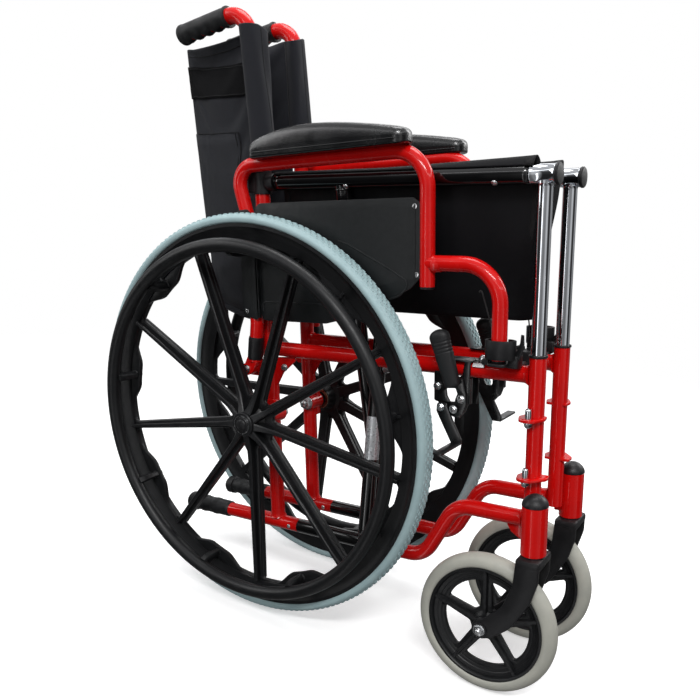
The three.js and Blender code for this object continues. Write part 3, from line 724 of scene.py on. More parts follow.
def push_grip(side):
    end = GRIP_END
    length = 95.0

    def section(distance, _share):
        made = []
        groove = 1.3 * (1 - math.cos(2 * math.pi * (distance - 14) / 19)) if 14 < distance < 90 else 0.0
        cap = 3.6 * max(0.0, 1 - distance / 5.5) ** 2
        lip = 0.8 if distance > length - 4 else 0.0
        for i in range(48):
            angle = 2 * math.pi * i / 48
            aside, upright = math.cos(angle), math.sin(angle)
            under = max(0.0, -upright * down) ** 1.2
            flute = 0.25 * math.cos(angle * 24) if 10 < distance < 88 else 0.0
            size = 13.5 - cap + lip - groove * under + flute + (0.8 if distance < 9 else 0)
            made.append((aside * size, upright * size))
        return made

    route = refined([end - GRIP_ALONG * 1.5, end + GRIP_ALONG * (length - 1.5)], 1.5)
    # The section's second axis points down or up along this route, and the finger grooves face down.
    _, aside, upright = axes_along(GRIP_ALONG)
    down = 1.0 if upright.z > 0 else -1.0
    piece(f"{side}_push_grip", [sweep(route, section)], f"{side}_frame", GRIP_BLACK, sharp=50)


# ---- Rear wheel ----
SPOKES = 9
SPOKE_TURN = {"right": 29, "left": 20}
RIM_R = 291.0
RIM_INNER_R = 261.0


def spoke_half_width(radius, scale=1.0):
    return scale * (9.2 - 3.4 * (radius - 30) / 230)


def wheel_window(degrees):
    """The clear space between two spokes, with the rim's bump for the handrim between them."""
    middle = math.radians(degrees)
    half_gap = math.pi / SPOKES

    def beside_spoke(radius, way):
        angle = half_gap - math.asin(spoke_half_width(radius) / radius)
        return radius * math.cos(middle + way * angle), radius * math.sin(middle + way * angle)

    corners = [(*beside_spoke(40, -1), 7), beside_spoke(120, -1), beside_spoke(200, -1)]
    corners.append((*beside_spoke(RIM_INNER_R + 1, -1), 11))
    for i in range(-11, 12):
        offset = math.radians(i * 1.36)
        share = min(1.0, max(0.0, (abs(i * 1.36) - 3.5) / 9.5))
        inward = 19 * 0.5 * (1 + math.cos(math.pi * share))
        radius = RIM_INNER_R + 1.5 - inward
        corners.append((radius * math.cos(middle + offset), radius * math.sin(middle + offset)))
    corners.append((*beside_spoke(RIM_INNER_R + 1, 1), 11))
    corners += [beside_spoke(200, 1), beside_spoke(120, 1), (*beside_spoke(40, 1), 7)]
    return rounded_outline(corners, 6)


def spoke_form(from_r, to_r):
    """One spoke along +X: a deep rib with a narrow outer bead and a wider inner flange."""
    rings = []
    for i in range(17):
        share = i / 16
        radius = from_r + (to_r - from_r) * share
        root = max(0.0, 1 - (radius - from_r) / 42) ** 2
        width = 1.0 - 0.28 * share
        front = -13.2 - 9.5 * root + 1.2 * share
        half = [(2.6 + 2.2 * root, front), (3.7 + 3 * root, front + 1.2), (3.7 + 3 * root, front + 3.2),
                (2.5 + 4 * root, front + 5), (2.9 + 5 * root, 3.0), (7.8 + 3 * root, 5.5),
                (8.0 + 3 * root, 9.6), (7.2 + 3 * root, 10.4)]
        half = [(w * width, y) for w, y in half]
        ring = [(radius, y, w) for w, y in half] + [(radius, y, -w) for w, y in reversed(half)]
        rings.append(ring)
    return loft(rings)


def rear_wheel(side):
    centre = Vector((0, WHEEL_Y, WHEEL_R))
    to_hub = Matrix.Translation(centre)
    half = 12.8
    rim = turn([(RIM_R, half - 0.8), (RIM_R - 0.8, half), (285.5, half), (283, 10.6), (275, 6.0),
                (264.5, 4.6),
                (263.0, 3.8), (262.4, -6.6), (263, -8.6), (274, -9.6), (284, -11.6), (287, -half),
                (RIM_R - 0.8, -half), (RIM_R, -half + 0.8)],
               ZERO, OUT, 180, closed=True)
    windows = [wheel_window(SPOKE_TURN[side] + (i + 0.5) * 360 / SPOKES) for i in range(SPOKES)]
    web = plate(disc_outline(0, 0, 268, 180), -2.4, 4.6, 1.6, windows)
    spoke = spoke_form(14, 262)
    forms = [rim, web]
    for i in range(SPOKES):
        turned = SPOKE_TURN[side] + i * 360 / SPOKES
        forms.append(spun(spoke, ZERO, turned))
        boss = turn([(0, -6), (6.6, -6), (6.6, 3.6), (5.8, 4.8), (4.0, 5.0), (3.4, 2.2), (0, 2.2)],
                    (252, 0, 0), OUT, 24)
        tie = plate(rounded_outline([(250, -1.8), (266, -1.8), (266, 1.8), (250, 1.8)]), -6.2, 0, 0.5)
        forms += [spun(boss, ZERO, turned + 180 / SPOKES), spun(tie, ZERO, turned + 180 / SPOKES)]
    hub = turn([(0, 23.5), (12.4, 23.5), (13.2, 24.2), (13.6, 25.6), (17.4, 25.6), (18.6, 24.4), (18.8, 14),
                (21, 8), (26, 2), (33, -3.4), (34, -8.4), (30, -9.8), (22.5, -12.4), (19.4, -20),
                (18.8, -26.5), (17.6, -27.6), (13, -27.6), (0, -27.6)], ZERO, OUT, 72)
    forms.append(hub)
    forms = [moved(form, to_hub) for form in forms]
    piece(f"{side}_rear_wheel", forms, f"{side}_wheel", WHEEL_BLACK, sharp=32)

    cap = turn([(0, 22), (12.2, 22), (12.2, 26.4), (11.2, 27.4), (8.6, 27.6), (8.0, 28.6), (6.4, 29.4),
                (0, 29.6)],
               centre, OUT, 48)
    piece(f"{side}_hub_cap", [cap], f"{side}_wheel", CLIP_BLACK)
    race = turn([(12.3, -28.2), (16.4, -28.2), (16.8, -27.8), (16.8, -26), (12.3, -26)], centre, OUT,
                56, closed=True)
    outer_race = turn([(12.9, 25.2), (14.1, 25.2), (14.1, 26.9), (12.9, 26.9)], centre, OUT, 56, closed=True)
    seal = turn([(6.6, -27.4), (12.3, -27.4), (12.3, -26.2), (6.6, -26.2)], centre, OUT, 40, closed=True)
    piece(f"{side}_hub_bearings", [race, outer_race, seal], f"{side}_wheel", [BRONZE, CLIP_BLACK, ZINC],
          slot="zinc", finishes=[0, 2, 1])


def handrim(side):
    centre = Vector((0, WHEEL_Y, WHEEL_R))
    out = WHEEL_Y - HANDRIM_Y
    ring = turn([(HANDRIM_R + HANDRIM_TUBE_R * math.cos(a), out + HANDRIM_TUBE_R * math.sin(a))
                 for a in (2 * math.pi * i / 20 for i in range(20))], ZERO, OUT, 180, closed=True)
    forms = [ring]
    for i in range(SPOKES):
        route = [Vector((252, -3, 0)), Vector((252, -14, 0)), Vector((252.5, -22, 0)), Vector((254, -29, 0)),
                 Vector((257, -34, 0))]

        def section(_distance, share):
            wide, thick = 7.5 + 2.5 * share, 4.4 + 2 * share
            return [(wide * a, thick * b) for a, b in
                    ((0.9, 0.6), (0.6, 0.95), (-0.6, 0.95), (-0.9, 0.6), (-0.9, -0.6), (-0.6, -0.95),
                     (0.6, -0.95), (0.9, -0.6))]

        standoff = sweep(route, section)
        forms.append(spun(standoff, ZERO, SPOKE_TURN[side] + (i + 0.5) * 360 / SPOKES))
    forms = [moved(form, Matrix.Translation(centre)) for form in forms]
    piece(f"{side}_handrim", forms, f"{side}_wheel", WHEEL_BLACK, sharp=40)


def tread_block(radius, across, wide, along, tall):
    """One small tread block, standing out from the crown at +X, at a distance across the tyre."""
    inset = 0.6
    low = [(radius, across - wide / 2, -along / 2), (radius, across + wide / 2, -along / 2),
           (radius, across + wide / 2, along / 2), (radius, across - wide / 2, along / 2)]
    high = [(radius + tall, across - wide / 2 + inset, -along / 2 + inset),
            (radius + tall, across + wide / 2 - inset, -along / 2 + inset),
            (radius + tall, across + wide / 2 - inset, along / 2 - inset),
            (radius + tall, across - wide / 2 + inset, along / 2 - inset)]
    return loft([low, high])


def rear_tyre(side):
    centre = Vector((0, WHEEL_Y, WHEEL_R))
    half = TYRE_HALF
    crown = WHEEL_R - 1.9
    profile = [(290.4, half - 3.4), (291.4, half - 1.8), (292.8, half - 0.8), (296.2, half - 0.2),
               (298.4, half - 0.9),
               (300.4, half - 2.8), (302.0, half - 5.2), (crown, 6.8), (crown + 0.35, 0)]
    profile += [(r, -y) for r, y in reversed(profile[:-1])]
    forms = [turn(profile, ZERO, OUT, 200, closed=True)]
    pitches = 176
    rows = [(0.0, 3.0, 5.6, 0.0, crown - 0.9, 2.3), (4.7, 3.0, 5.2, 0.5, crown - 1.1, 2.4),
            (9.0, 2.7, 5.6, 0.0, crown - 2.4, 2.6), (12.3, 2.2, 5.0, 0.5, crown - 4.8, 2.7)]
    for across, wide, along, phase, radius, tall in rows:
        for way in ((1, -1) if across else (1,)):
            block_form = tread_block(radius, way * across, wide, along, tall)
            for i in range(pitches):
                forms.append(spun(block_form, ZERO, (i + phase) * 360 / pitches))
    forms = [moved(form, Matrix.Translation(centre)) for form in forms]
    piece(f"{side}_rear_tyre", forms, f"{side}_wheel", TYRE_BLUE, sharp=36)


# ---- Caster ----
CASTER_SPOKES = 5
CASTER_TURN = 18


def caster_window(degrees):
    middle = math.radians(degrees)
    half_gap = math.pi / CASTER_SPOKES

    def beside_spoke(radius, way, wide):
        angle = half_gap - math.asin(wide / radius)
        return radius * math.cos(middle + way * angle), radius * math.sin(middle + way * angle)

    corners = [(*beside_spoke(24, -1, 9), 5), (*beside_spoke(63, -1, 7.4), 9)]
    for i in range(-4, 5):
        offset = math.radians(i * 5.6)
        corners.append((63 * math.cos(middle + offset), 63 * math.sin(middle + offset)))
    corners += [(*beside_spoke(63, 1, 7.4), 9), (*beside_spoke(24, 1, 9), 5)]
    return rounded_outline(corners, 6)


def caster(side):
    centre = Vector(CASTER_AT)
    rim = turn([(84.2, 10.8), (83.6, 11.6), (80.6, 11.8), (79.2, 10.4), (78.2, 6.2), (73.4, 5.4),
                (72.6, 4.6),
                (68.2, 4.0), (67.6, 3.2), (67.6, -3.2), (68.2, -4.0), (72.6, -4.6), (73.4, -5.4),
                (78.2, -6.2), (79.2, -10.4), (80.6, -11.8), (83.6, -11.6), (84.2, -10.8)],
               ZERO, OUT, 96, closed=True)
    windows = [caster_window(CASTER_TURN + (i + 0.5) * 72) for i in range(CASTER_SPOKES)]
    web = plate(disc_outline(0, 0, 72, 96), -3.6, 3.6, 0.9, windows)
    rib = loft([[(radius, y, w) for w, y in
                 ((2.2, -9.4), (3.2, -3), (3.2, 3), (2.2, 9.4), (-2.2, 9.4), (-3.2, 3), (-3.2, -3),
                  (-2.2, -9.4))]
                for radius in (8, 30, 52, 79)])
    hub = turn([(0, 15.4), (12.2, 15.4), (13, 14.6), (13.2, 8), (18, 4.6), (19, 0), (18, -4.6), (13.2, -8),
                (13, -14.6), (12.2, -15.4), (0, -15.4)], ZERO, OUT, 48)
    forms = [rim, web, hub]
    forms += [spun(rib, ZERO, CASTER_TURN + i * 72) for i in range(CASTER_SPOKES)]
    forms = [moved(form, Matrix.Translation(centre)) for form in forms]
    piece(f"{side}_caster_wheel", forms, f"{side}_caster_wheel", WHEEL_BLACK, sharp=34)

    profile = [(83.8, 10.8), (84.6, 12.4), (87, 13.2), (90, 13.3), (94, 12.3), (97.4, 10.2), (99.8, 7.2),
               (101.2, 3.6), (CASTER_R, 0)]
    profile += [(r, -y) for r, y in reversed(profile[:-1])]
    tyre = turn(profile, centre, OUT, 144, closed=True)
    piece(f"{side}_caster_tyre", [tyre], f"{side}_caster_wheel", TYRE_GREY, sharp=60)

    x, z = CASTER_AT.x, CASTER_AT.z
    sx = SWIVEL_AT.x
    leg = rounded_outline([
        (sx - 15.5, 175.5, 2), (sx + 16.5, 175.5, 4), (sx + 15.8, 150, 30), (sx + 6, 118, 50),
                           (sx - 20, 76, 50),
        (x + 16, z - 9, 12), (x + 2, z - 13.5, 9), (x - 12.5, z - 8, 9), (x - 12, z + 8, 9), (x + 4, z + 17,
                                                                                              20),
        (sx - 33, 104, 40), (sx - 19, 138, 40)], 6)
    y = SWIVEL_AT.y
    legs = [plate(leg, y - 24, y - 17.6, 1.9), plate(leg, y + 17.6, y + 24, 1.9)]
    crown = block((sx - 16.4, y - 24.6, 166), (sx + 17.4, y + 24.6, 179), 4.2)
    ridge = block((sx - 12, y - 20, 158), (sx + 12, y + 20, 169), 2.4)
    collar = turn([(0, 0), (15.4, 0), (15, 1.4), (0, 1.4)], (sx, y, 178.4), UP, 36)
    stem = turn([(0, 0), (6.6, 0), (6.6, 66), (0, 66)], (sx, y, 170), UP, 24)
    bosses = [turn([(0, 0), (10.4, 0), (10.8, 0.8), (10.8, 2.4), (0, 2.4)], (x, y + way * 23.4, z),
                   (0, way, 0), 32)
              for way in (-1, 1)]
    piece(f"{side}_caster_fork", [*legs, crown, ridge, collar, stem, *bosses], f"{side}_caster", CLIP_BLACK,
          sharp=40)
    axle = [turn([(0, 0), (3.9, 0), (3.9, 56), (0, 56)], (x, y + 28, z), OUT, 24),
            *hex_head((x, y - 25.4, z), OUT, 6.8, 5.2, 1.2), *hex_head((x, y + 25.4, z), INWARD, 6.8, 5.0)]
    for way in (-1, 1):
        axle.append(turn([(4.1, 0), (8, 0), (8, 1.9), (4.1, 1.9)], (x, y + way * 15.5, z), (0, way, 0), 28,
                         closed=True))
    piece(f"{side}_caster_axle", axle, f"{side}_caster", ZINC)


# ---- Armrest ----
def arm_tube(side):
    y = ARM_Y
    body = f"{side}_armrest"
    loop_route = rounded([(-14, y, 391), (-6, y, 450), (-8, y, 585), (-32, y, 673.5), (120, y, 679.5),
                          (283.5, y, 685.6), (283.5, y, 515)], [30, 40, 27, 60, 46], 12)
    branch_route = rounded([(284, y, 546), (386, y, 546), (386, y, 428)], 50, 16)
    pivot = ARM_PIVOT
    eye = turn([(4.5, -8), (9, -8), (9.4, -7.5), (9.4, 7.5), (9, 8), (4.5, 8)], pivot, OUT, 36, closed=True)
    forms = [pipe(loop_route, ARM_TUBE_R, 32), pipe(branch_route, ARM_TUBE_R, 32, weld_start=0), eye,
             plate(rounded_outline([(-31, 383, 4), (-16, 371, 4), (-3, 394, 4), (-21, 401, 4)]), y - 7.8,
                   y + 7.8, 1)]
    saddle = pipe([(285, y, 545), (301, y, 545)], ARM_TUBE_R, 32, weld_start=0, weld_end=0)
    flare = sweep([Vector((293.4, y, 545)), Vector((295, y, 545)), Vector((297, y, 545)),
                   Vector((300, y, 545)), Vector((304, y, 545))],
                  lambda distance, share: circle(ARM_TUBE_R + 1.6 * (1 - share) ** 2 + 0.05, 32))
    forms += [saddle, flare]
    piece(f"{side}_arm_tube", forms, body, RED, sharp=42)

    socket = sweep(refined([Vector((-13.5, y, 395)), Vector((-8.9, y, 429))], 4),
                   lambda distance, share: circle(ARM_TUBE_R + 1.6 - (0.8 if share in (0.0, 1.0) else 0),
                                                  32))
    cap = turn([(0, 0), (8.4, 0), (9.6, 0.8), (9.9, 2.2), (9.9, 3), (0, 3)], (283.5, y, 512.6), UP, 32)
    tip = sweep(refined([Vector((386, y, 426)), Vector((386, y, 430))], 1),
                lambda distance, share: circle(ARM_TUBE_R - 0.8 + 0.6 * min(1, share * 2), 32))
    piece(f"{side}_arm_caps", [socket, cap, tip], body, CLIP_BLACK)


def arm_pad(side):
    """A padded vinyl pad: a crowned top over a straight band, with a seam between them."""
    y_in, y_out = -61.4, -98.8
    middle_y, half_y = (y_in + y_out) / 2, (y_in - y_out) / 2
    start, end = 14.0, 262.5

    def bottom_at(share):
        return 679.6 + 10.6 * share

    def top_at(share):
        heights = open_curve([(0, 701), (0.1, 711), (0.25, 719.5), (0.42, 722.5), (0.6, 721), (0.8, 716.5),
                              (1, 710)], 41)
        return float(np.interp(share, [p.x for p in heights], [p.y for p in heights]))

    def seam_at(share):
        return bottom_at(share) + 8.6 - 1.6 * share

    def narrowing(share):
        near_end = min(share, 1 - share) * (end - start)
        nose = 15.0 if share > 0.5 else 9.0
        return 0.12 + 0.88 * math.sqrt(max(0.0, 1 - (1 - min(1.0, near_end / nose)) ** 2.6))

    rings = []
    stations = 64
    for i in range(stations + 1):
        along = 0.5 - 0.5 * math.cos(math.pi * i / stations)
        x = start + (end - start) * along
        shrink, seam = narrowing(along), seam_at(along)
        low, high = bottom_at(along), top_at(along)
        ring = []
        for k in range(56):
            angle = 2 * math.pi * k / 56
            c, s = math.cos(angle), math.sin(angle)
            ry = half_y * math.copysign(abs(c) ** 0.42, c)
            rz = (high - seam) * s ** 0.80 if s >= 0 else (low - seam) * (-s) ** 0.30
            ry *= 1.0 - 0.05 * abs(s)
            z = seam + rz * (0.35 + 0.65 * shrink)
            groove = 0.9 * math.exp(-((z - seam) / 1.0) ** 2)
            ring.append((x, middle_y + ry * shrink * (1 - groove / half_y), z))
        rings.append(ring)
    pad = piece(f"{side}_arm_pad", [loft(rings)], f"{side}_armrest", PAD_BLACK, sharp=70)
    piping = []
    for way in (-1, 1):
        route = []
        for i in range(60):
            along = 0.035 + 0.93 * i / 59
            route.append(Vector((start + (end - start) * along,
                                 middle_y + way * (half_y * narrowing(along) - 0.5), seam_at(along))))
        piping.append(sweep(route, lambda distance, share: circle(0.8, 8)))
    piece(f"{side}_pad_seam", piping, f"{side}_armrest", PAD_BLACK, sharp=80)


def side_panel(side):
    y = ARM_Y - 5
    outline = rounded_outline([
        (6, 470, 8), (12, 455.5, 6), (125, 458, 20), (160, 467, 20), (237, 501, 12), (262, 513, 14),
                               (277.6, 528, 10),
        (277.6, 619, 10), (266, 627, 8), (8, 622, 12), (4, 600, 4)])
    sheet = plate(outline, y - 1.6, y + 1.6, 0.7)
    face = y - 1.5
    # Moulded folds run along the foot of the panel and down its lower front corner.
    ridges = []
    for corners in ([(13, 470), (13, 483), (126, 485), (150, 489)],
                    [(150, 572), (167, 567), (233, 536), (256, 523), (257, 514), (246, 503), (214, 492)],
                    [(268.5, 526), (268.5, 618)]):
        route = rounded([Vector((x, face, z)) for x, z in corners], 7, 5)
        ridges.append(sweep(refined(route, 3), lambda distance, share: circle(1.25, 8)))
    # The rear edge wraps round the arm tube.
    wing = rounded_outline([(-22, 461, 5), (6, 456, 5), (9, 470, 3), (7, 604, 3), (-4, 614, 6),
                            (-26, 612, 6), (-21, 560, 8)])
    wrap = plate(wing, ARM_Y - 10.9, ARM_Y - 10.0, 0.3)
    step = block((3.6, ARM_Y - 10.9, 459), (8.4, y, 606), 1.2)
    piece(f"{side}_side_panel", [sheet, *ridges, wrap, step], f"{side}_armrest", PANEL_BLACK, sharp=40)
    screws = []
    for x, z, out in ((268.5, 616, y - 1.6), (271, 531, y - 1.6), (-15, 468, ARM_Y - 10.6)):
        screws.append(turn([(0, 0), (3.4, 0), (3.3, 0.5), (2.2, 0.8), (1.2, 0.8), (1.0, 0.3), (0, 0.3)],
                           (x, out, z), OUT, 16))
    piece(f"{side}_panel_screws", screws, f"{side}_armrest", ZINC)


def arm_latch(side):
    """The clip on the upper rail: a clamp block, an open cup for the arm tube and a hook in front."""
    y = ARM_Y
    base_z = UPPER_Z + TUBE_R
    clamp = [block((364, SIDE_Y - TUBE_R - 3.0, base_z - 2.6), (409, SIDE_Y + TUBE_R + 2, base_z + 3.2),
                   1.4),
             block((367, SIDE_Y + TUBE_R - 0.6, base_z - 24), (406, SIDE_Y + TUBE_R + 2.4, base_z + 2), 1.2)]
    # An open C of strap, longer towards the front than behind the tube.
    angles = [math.radians(140 + 290 * i / 36) for i in range(37)]
    outline = [(388 + 20.5 * math.cos(a), y + min(12.0, 13.8 * math.sin(a))) for a in angles]
    outline += [(387.6 + 17.4 * math.cos(a), y + min(10.6, 11.0 * math.sin(a))) for a in reversed(angles)]
    points, faces = plate(outline, 430.5, 454.5, 0.5)
    cup = ([(px, pz, height) for px, height, pz in points], faces)
    floor = plate(rounded_outline([(374, y - 12.5, 5), (399, y - 12.5, 5), (399, SIDE_Y - 6, 3),
                                   (374, SIDE_Y - 6, 3)]),
                  421.5, 425.6, 1.2)
    floor = ([(px, pz, height) for px, height, pz in floor[0]], floor[1])
    hook_points = [Vector((402, y + 3, 430)), Vector((409, y + 1, 434)), Vector((414, y, 442)),
                   Vector((417, y - 1, 452)), Vector((417.5, y - 2, 463))]

    def hook_section(_distance, share):
        thin = 1.9 - 1.0 * share
        return [(a * thin, b * (6.0 - 3.6 * share)) for a, b in circle(1, 16)]

    hook = sweep(refined(rounded(hook_points, 5, 4), 2), hook_section)
    lower = block((398, y - 2, 419.6), (412, SIDE_Y - TUBE_R + 3, 436), 1.6)
    tail = block((358, SIDE_Y - TUBE_R - 5, 418.6), (370, SIDE_Y - TUBE_R + 3, 427), 1.8)
    rib = block((372, y - 8, 424), (374.6, SIDE_Y - 13.8, 440), 0.8)
    wire_at = SIDE_Y - TUBE_R - 5
    wire = pipe(rounded([(377, wire_at, 424), (373.6, wire_at, 462), (357.5, wire_at, 511), (355.6, wire_at,
                                                                                             514),
                         (353.4, wire_at, 511)], [30, 2, 1.5], 6), 1.1, 8, edge=0.3)
    piece(f"{side}_latch_wire", [wire], f"{side}_frame", BRAKE_PAINT, sharp=60)
    piece(f"{side}_arm_latch", [*clamp, cup, floor, hook, lower, tail, rib], f"{side}_frame", CLIP_BLACK,
          sharp=40)


# ---- Wheel lock ----
def wheel_lock(side):
    near = SIDE_Y - TUBE_R - 0.4
    outline = rounded_outline([(289, 405, 3), (289, 364, 3), (296, 362, 3), (301, 352, 5), (318, 344, 6),
                               (326, 342, 4), (335, 352, 8), (340, 364, 8), (342, 420.6, 1), (334, 420.6, 1),
                               (330, 399, 4)])
    window = rounded_outline([(307, 382, 2), (321, 383.5, 2), (324.5, 374, 2), (321, 365, 2),
                              (313, 364.5, 2), (308.6, 372, 2)])
    bracket = [plate(outline, near - 3, near, 0.6, [window]),
               block((296, near - 2.6, 419.9), (343, SIDE_Y + TUBE_R + 2.4, 421.9), 0.5),
               block((333, SIDE_Y + TUBE_R + 0.2, 359), (342.5, SIDE_Y + TUBE_R + 2.4, 421.6), 0.6),
               block((340.2, near - 3, 364), (342.8, near + 4, 398), 0.5)]
    for pivot in (BRAKE_PIVOT, SHOE_PIVOT):
        bracket.append(turn([(0, 0), (3.4, 0), (3.4, 14), (0, 14)], (pivot.x, near - 1, pivot.z), OUT, 20))
    piece(f"{side}_brake_bracket", bracket, f"{side}_frame", BRAKE_PAINT, sharp=40)
    bolts = []
    for x, z, out in ((294, 384, near - 3), (BRAKE_PIVOT.x, BRAKE_PIVOT.z, -70.4),
                      (SHOE_PIVOT.x, SHOE_PIVOT.z, -70.4)):
        bolts += hex_head((x, out, z), OUT, 4.5, 3.8, 1.0)
    bolts += hex_head((337, SIDE_Y + TUBE_R + 2.4, 390), INWARD, 4.4, 3.6)
    # A zinc saddle over the rail carries the bracket's clamp bolt.
    saddle = [(11.4, -8), (12.0, -8.6), (13.4, -8.6), (13.9, -8), (13.9, 8), (13.4, 8.6), (12.0, 8.6),
              (11.4, 8)]
    arch = [math.radians(24 + 132 * i / 24) for i in range(25)]
    bolts.append(loft([[(352 + along, SIDE_Y + r * math.cos(a), UPPER_Z + r * math.sin(a)) for r,
                        along in saddle]
                       for a in arch]))
    bolts += hex_head((352, SIDE_Y + 2, UPPER_Z + 13.6), (0, 0.1, 1), 4.6, 3.8, 1.6)
    piece(f"{side}_brake_bolts", bolts, f"{side}_frame", ZINC)

    lever_outline = rounded_outline([(316, 349, 4), (325, 344, 6), (334, 350, 7), (339, 364, 9),
                                     (338.5, 376, 9),
                                     (333, 399, 4), (314, 397, 4), (310, 384, 3), (326, 385.5, 3),
                                     (328.5, 374, 5), (323, 362, 4)])
    lever = [plate(lever_outline, near - 7.6, near - 3.7, 0.7)]
    piece(f"{side}_brake_lever", lever, f"{side}_brake_lever", BRAKE_PAINT, sharp=40)
    link_bolts = hex_head((331.5, near - 7.6, 370.7), OUT, 4.5, 3.8, 1.0)
    piece(f"{side}_brake_link_bolt", link_bolts, f"{side}_brake_lever", ZINC)

    grip_low, grip_high = Vector((322.5, -72, 389)), Vector((299.5, -72, 461.5))
    length = (grip_high - grip_low).length

    def section(distance, share):
        wide = 10.4 + 4.0 * share ** 0.8
        thick = 7.6 + 2.0 * share
        top = max(0.0, 1 - (length - distance) / 11)
        scale = math.sqrt(max(0.03, 1 - top ** 2.2))
        rib = 0.0
        for place in (0.60, 0.66, 0.72, 0.78):
            rib -= 0.7 * math.exp(-((share - place) * length / 0.8) ** 2)
        base = 0.6 * max(0.0, 1 - distance / 2)
        # The section's first axis lies along the chair and its second across it.
        return [((wide + rib - base) * scale * math.copysign(abs(a) ** 0.8, a),
                 (thick + rib - base) * scale * math.copysign(abs(b) ** 0.8, b)) for a, b in turned_circle]

    _, aside, _ = axes_along(grip_high - grip_low)
    turned_circle = circle(1, 40)
    if abs(aside.y) > 0.7:
        swap = section

        def section(distance, share):
            return [(b, a) for a, b in swap(distance, share)]

    grip = sweep(refined([grip_low, grip_high], 0.8), section)
    piece(f"{side}_brake_grip", [grip], f"{side}_brake_lever", GRIP_BLACK, sharp=60)

    far = near - 8.2
    sx, sz = SHOE_PIVOT.x, SHOE_PIVOT.z
    arm = plate(rounded_outline([(sx - 6, sz + 7, 5), (sx - 7, sz - 6, 4), (320, 309, 1), (334, 309, 1),
                                 (334.5, 316, 2), (sx + 16, sz - 14, 6), (sx + 8, sz + 5, 5)]), far - 3.6,
                far, 0.6)
    foot = block((321, -124.6, 309), (334, far - 1, 312.4), 0.8)
    piece(f"{side}_brake_shoe", [arm, foot], f"{side}_brake_shoe", BRAKE_PAINT, sharp=40)


# ---- Seat guides ----
def guide(side):
    body = f"{side}_guide"
    low = span("right_guide_post")[0].z
    tube = turn([(0, 0), (8.9, 0), (9.5, 0.6), (9.5, SEAT_Z - low - 4), (0, SEAT_Z - low - 4)],
                (POST_X, SIDE_Y, low), UP, 48)
    back, front = POST_X - 18, POST_X + 14
    sleeve = turn([(8.5, 0), (11.8, 0), (12.4, 0.7), (12.4, 1.6), (12.0, 2.2), (12.0, front - back - 2.2),
                   (12.4, front - back - 1.6), (12.4, front - back - 0.7), (11.8, front - back),
                   (8.5, front - back)],
                  (back, SIDE_Y, SEAT_Z), AHEAD, 48, closed=True)
    neck = turn([(0, -1.6), (11.2, -1.6), (10.3, -0.6), (9.7, 0.6), (9.5, 1.2), (0, 1.2)][::-1],
                (POST_X, SIDE_Y, SEAT_Z - 12.5), (0, 0, -1), 40)
    piece(f"{side}_guide_post", [tube, sleeve, neck], body, CHROME, sharp=40)
    cap = turn([(0, -5), (8.3, -5), (8.3, 0), (12.6, 0), (13.2, 0.8), (13.2, 3.0), (12.2, 4.2), (8, 4.8),
                (0, 5)],
               (front, SIDE_Y, SEAT_Z), AHEAD, 44)
    piece(f"{side}_guide_cap", [cap], body, CLIP_BLACK)
    ring = turn([(TUBE_R + 0.6, -16.6), (13.2, -16.6), (13.8, -16), (13.8, 16), (13.2, 16.6), (TUBE_R + 0.6,
                                                                                               16.6)],
                (CANE_X, SIDE_Y, SEAT_Z), UP, 44, closed=True)
    boss = turn([(6.6, 0), (12.4, 0), (12.4, 12.4), (11.6, 13.6), (6.6, 13.6)], (CANE_X + 12.5, SIDE_Y,
                                                                                 SEAT_Z),
                AHEAD, 36, closed=True)
    flat = block((CANE_X - 15.4, SIDE_Y - 13.6, SEAT_Z - 15), (CANE_X + 3, SIDE_Y - 9, SEAT_Z + 15), 1.2)
    piece(f"{side}_rear_slide", [ring, boss, flat], body, CLIP_BLACK, sharp=40)


# ---- Cross brace ----
def cross_brace():
    x_of = {"a": 137, "b": 163}
    for letter, lower_y in (("a", -SIDE_Y), ("b", SIDE_Y)):
        # Bar A stands on the left rail and bar B on the right one.
        x = x_of[letter]
        upper_y = -lower_y
        low = Vector((x, lower_y, LOWER_Z))
        high = Vector((x, upper_y, SEAT_Z))
        sleeve = turn([(8.5, 0), (10.4, 0), (11, 0.6), (11, 155.8), (10.4, 156.4), (8.5, 156.4)],
                      (39.3, lower_y, LOWER_Z), AHEAD, 40, closed=True)
        rail = pipe([(25, upper_y, SEAT_Z), (406, upper_y, SEAT_Z)], TUBE_R, 40)
        spigots = [pipe([(11, upper_y, SEAT_Z), (27, upper_y, SEAT_Z)], 5.9, 20),
                   pipe([(404, upper_y, SEAT_Z), (439, upper_y, SEAT_Z)], 7.9, 20)]
        bar = pipe([low, high], TUBE_R, 40)
        beads = [weld_bead(low + (high - low).normalized() * 11.5, high - low, TUBE_R, 1.8),
                 weld_bead(high + (low - high).normalized() * 11.5, high - low, TUBE_R, 1.8)]
        piece(f"cross_bar_{letter}", [sleeve, rail, bar, *spigots, *beads], f"bar_{letter}",
              BLACK_PAINT, sharp=42)
        if letter == "b":
            wrap = sweep(refined([low.lerp(high, (250 - LOWER_Z) / (SEAT_Z - LOWER_Z)),
                                  low.lerp(high, (314 - LOWER_Z) / (SEAT_Z - LOWER_Z))], 3),
                         lambda distance, share: circle(TUBE_R + 0.25, 40))
            piece("brace_label", [wrap], "bar_b", LABEL)
    first, last = x_of["a"] - TUBE_R - 1.5, x_of["b"] + TUBE_R + 1.5
    bolt = [turn([(0, 0), (3.9, 0), (3.9, last - first), (0, last - first)], (first, 0, PIVOT_Z), AHEAD, 24),
            *hex_head((first, 0, PIVOT_Z), (-1, 0, 0), 7.8, 6.4),
            *hex_head((last, 0, PIVOT_Z), AHEAD, 7.8, 6.2, 2.4)]
    piece("pivot_bolt", bolt, "bar_b", ZINC)


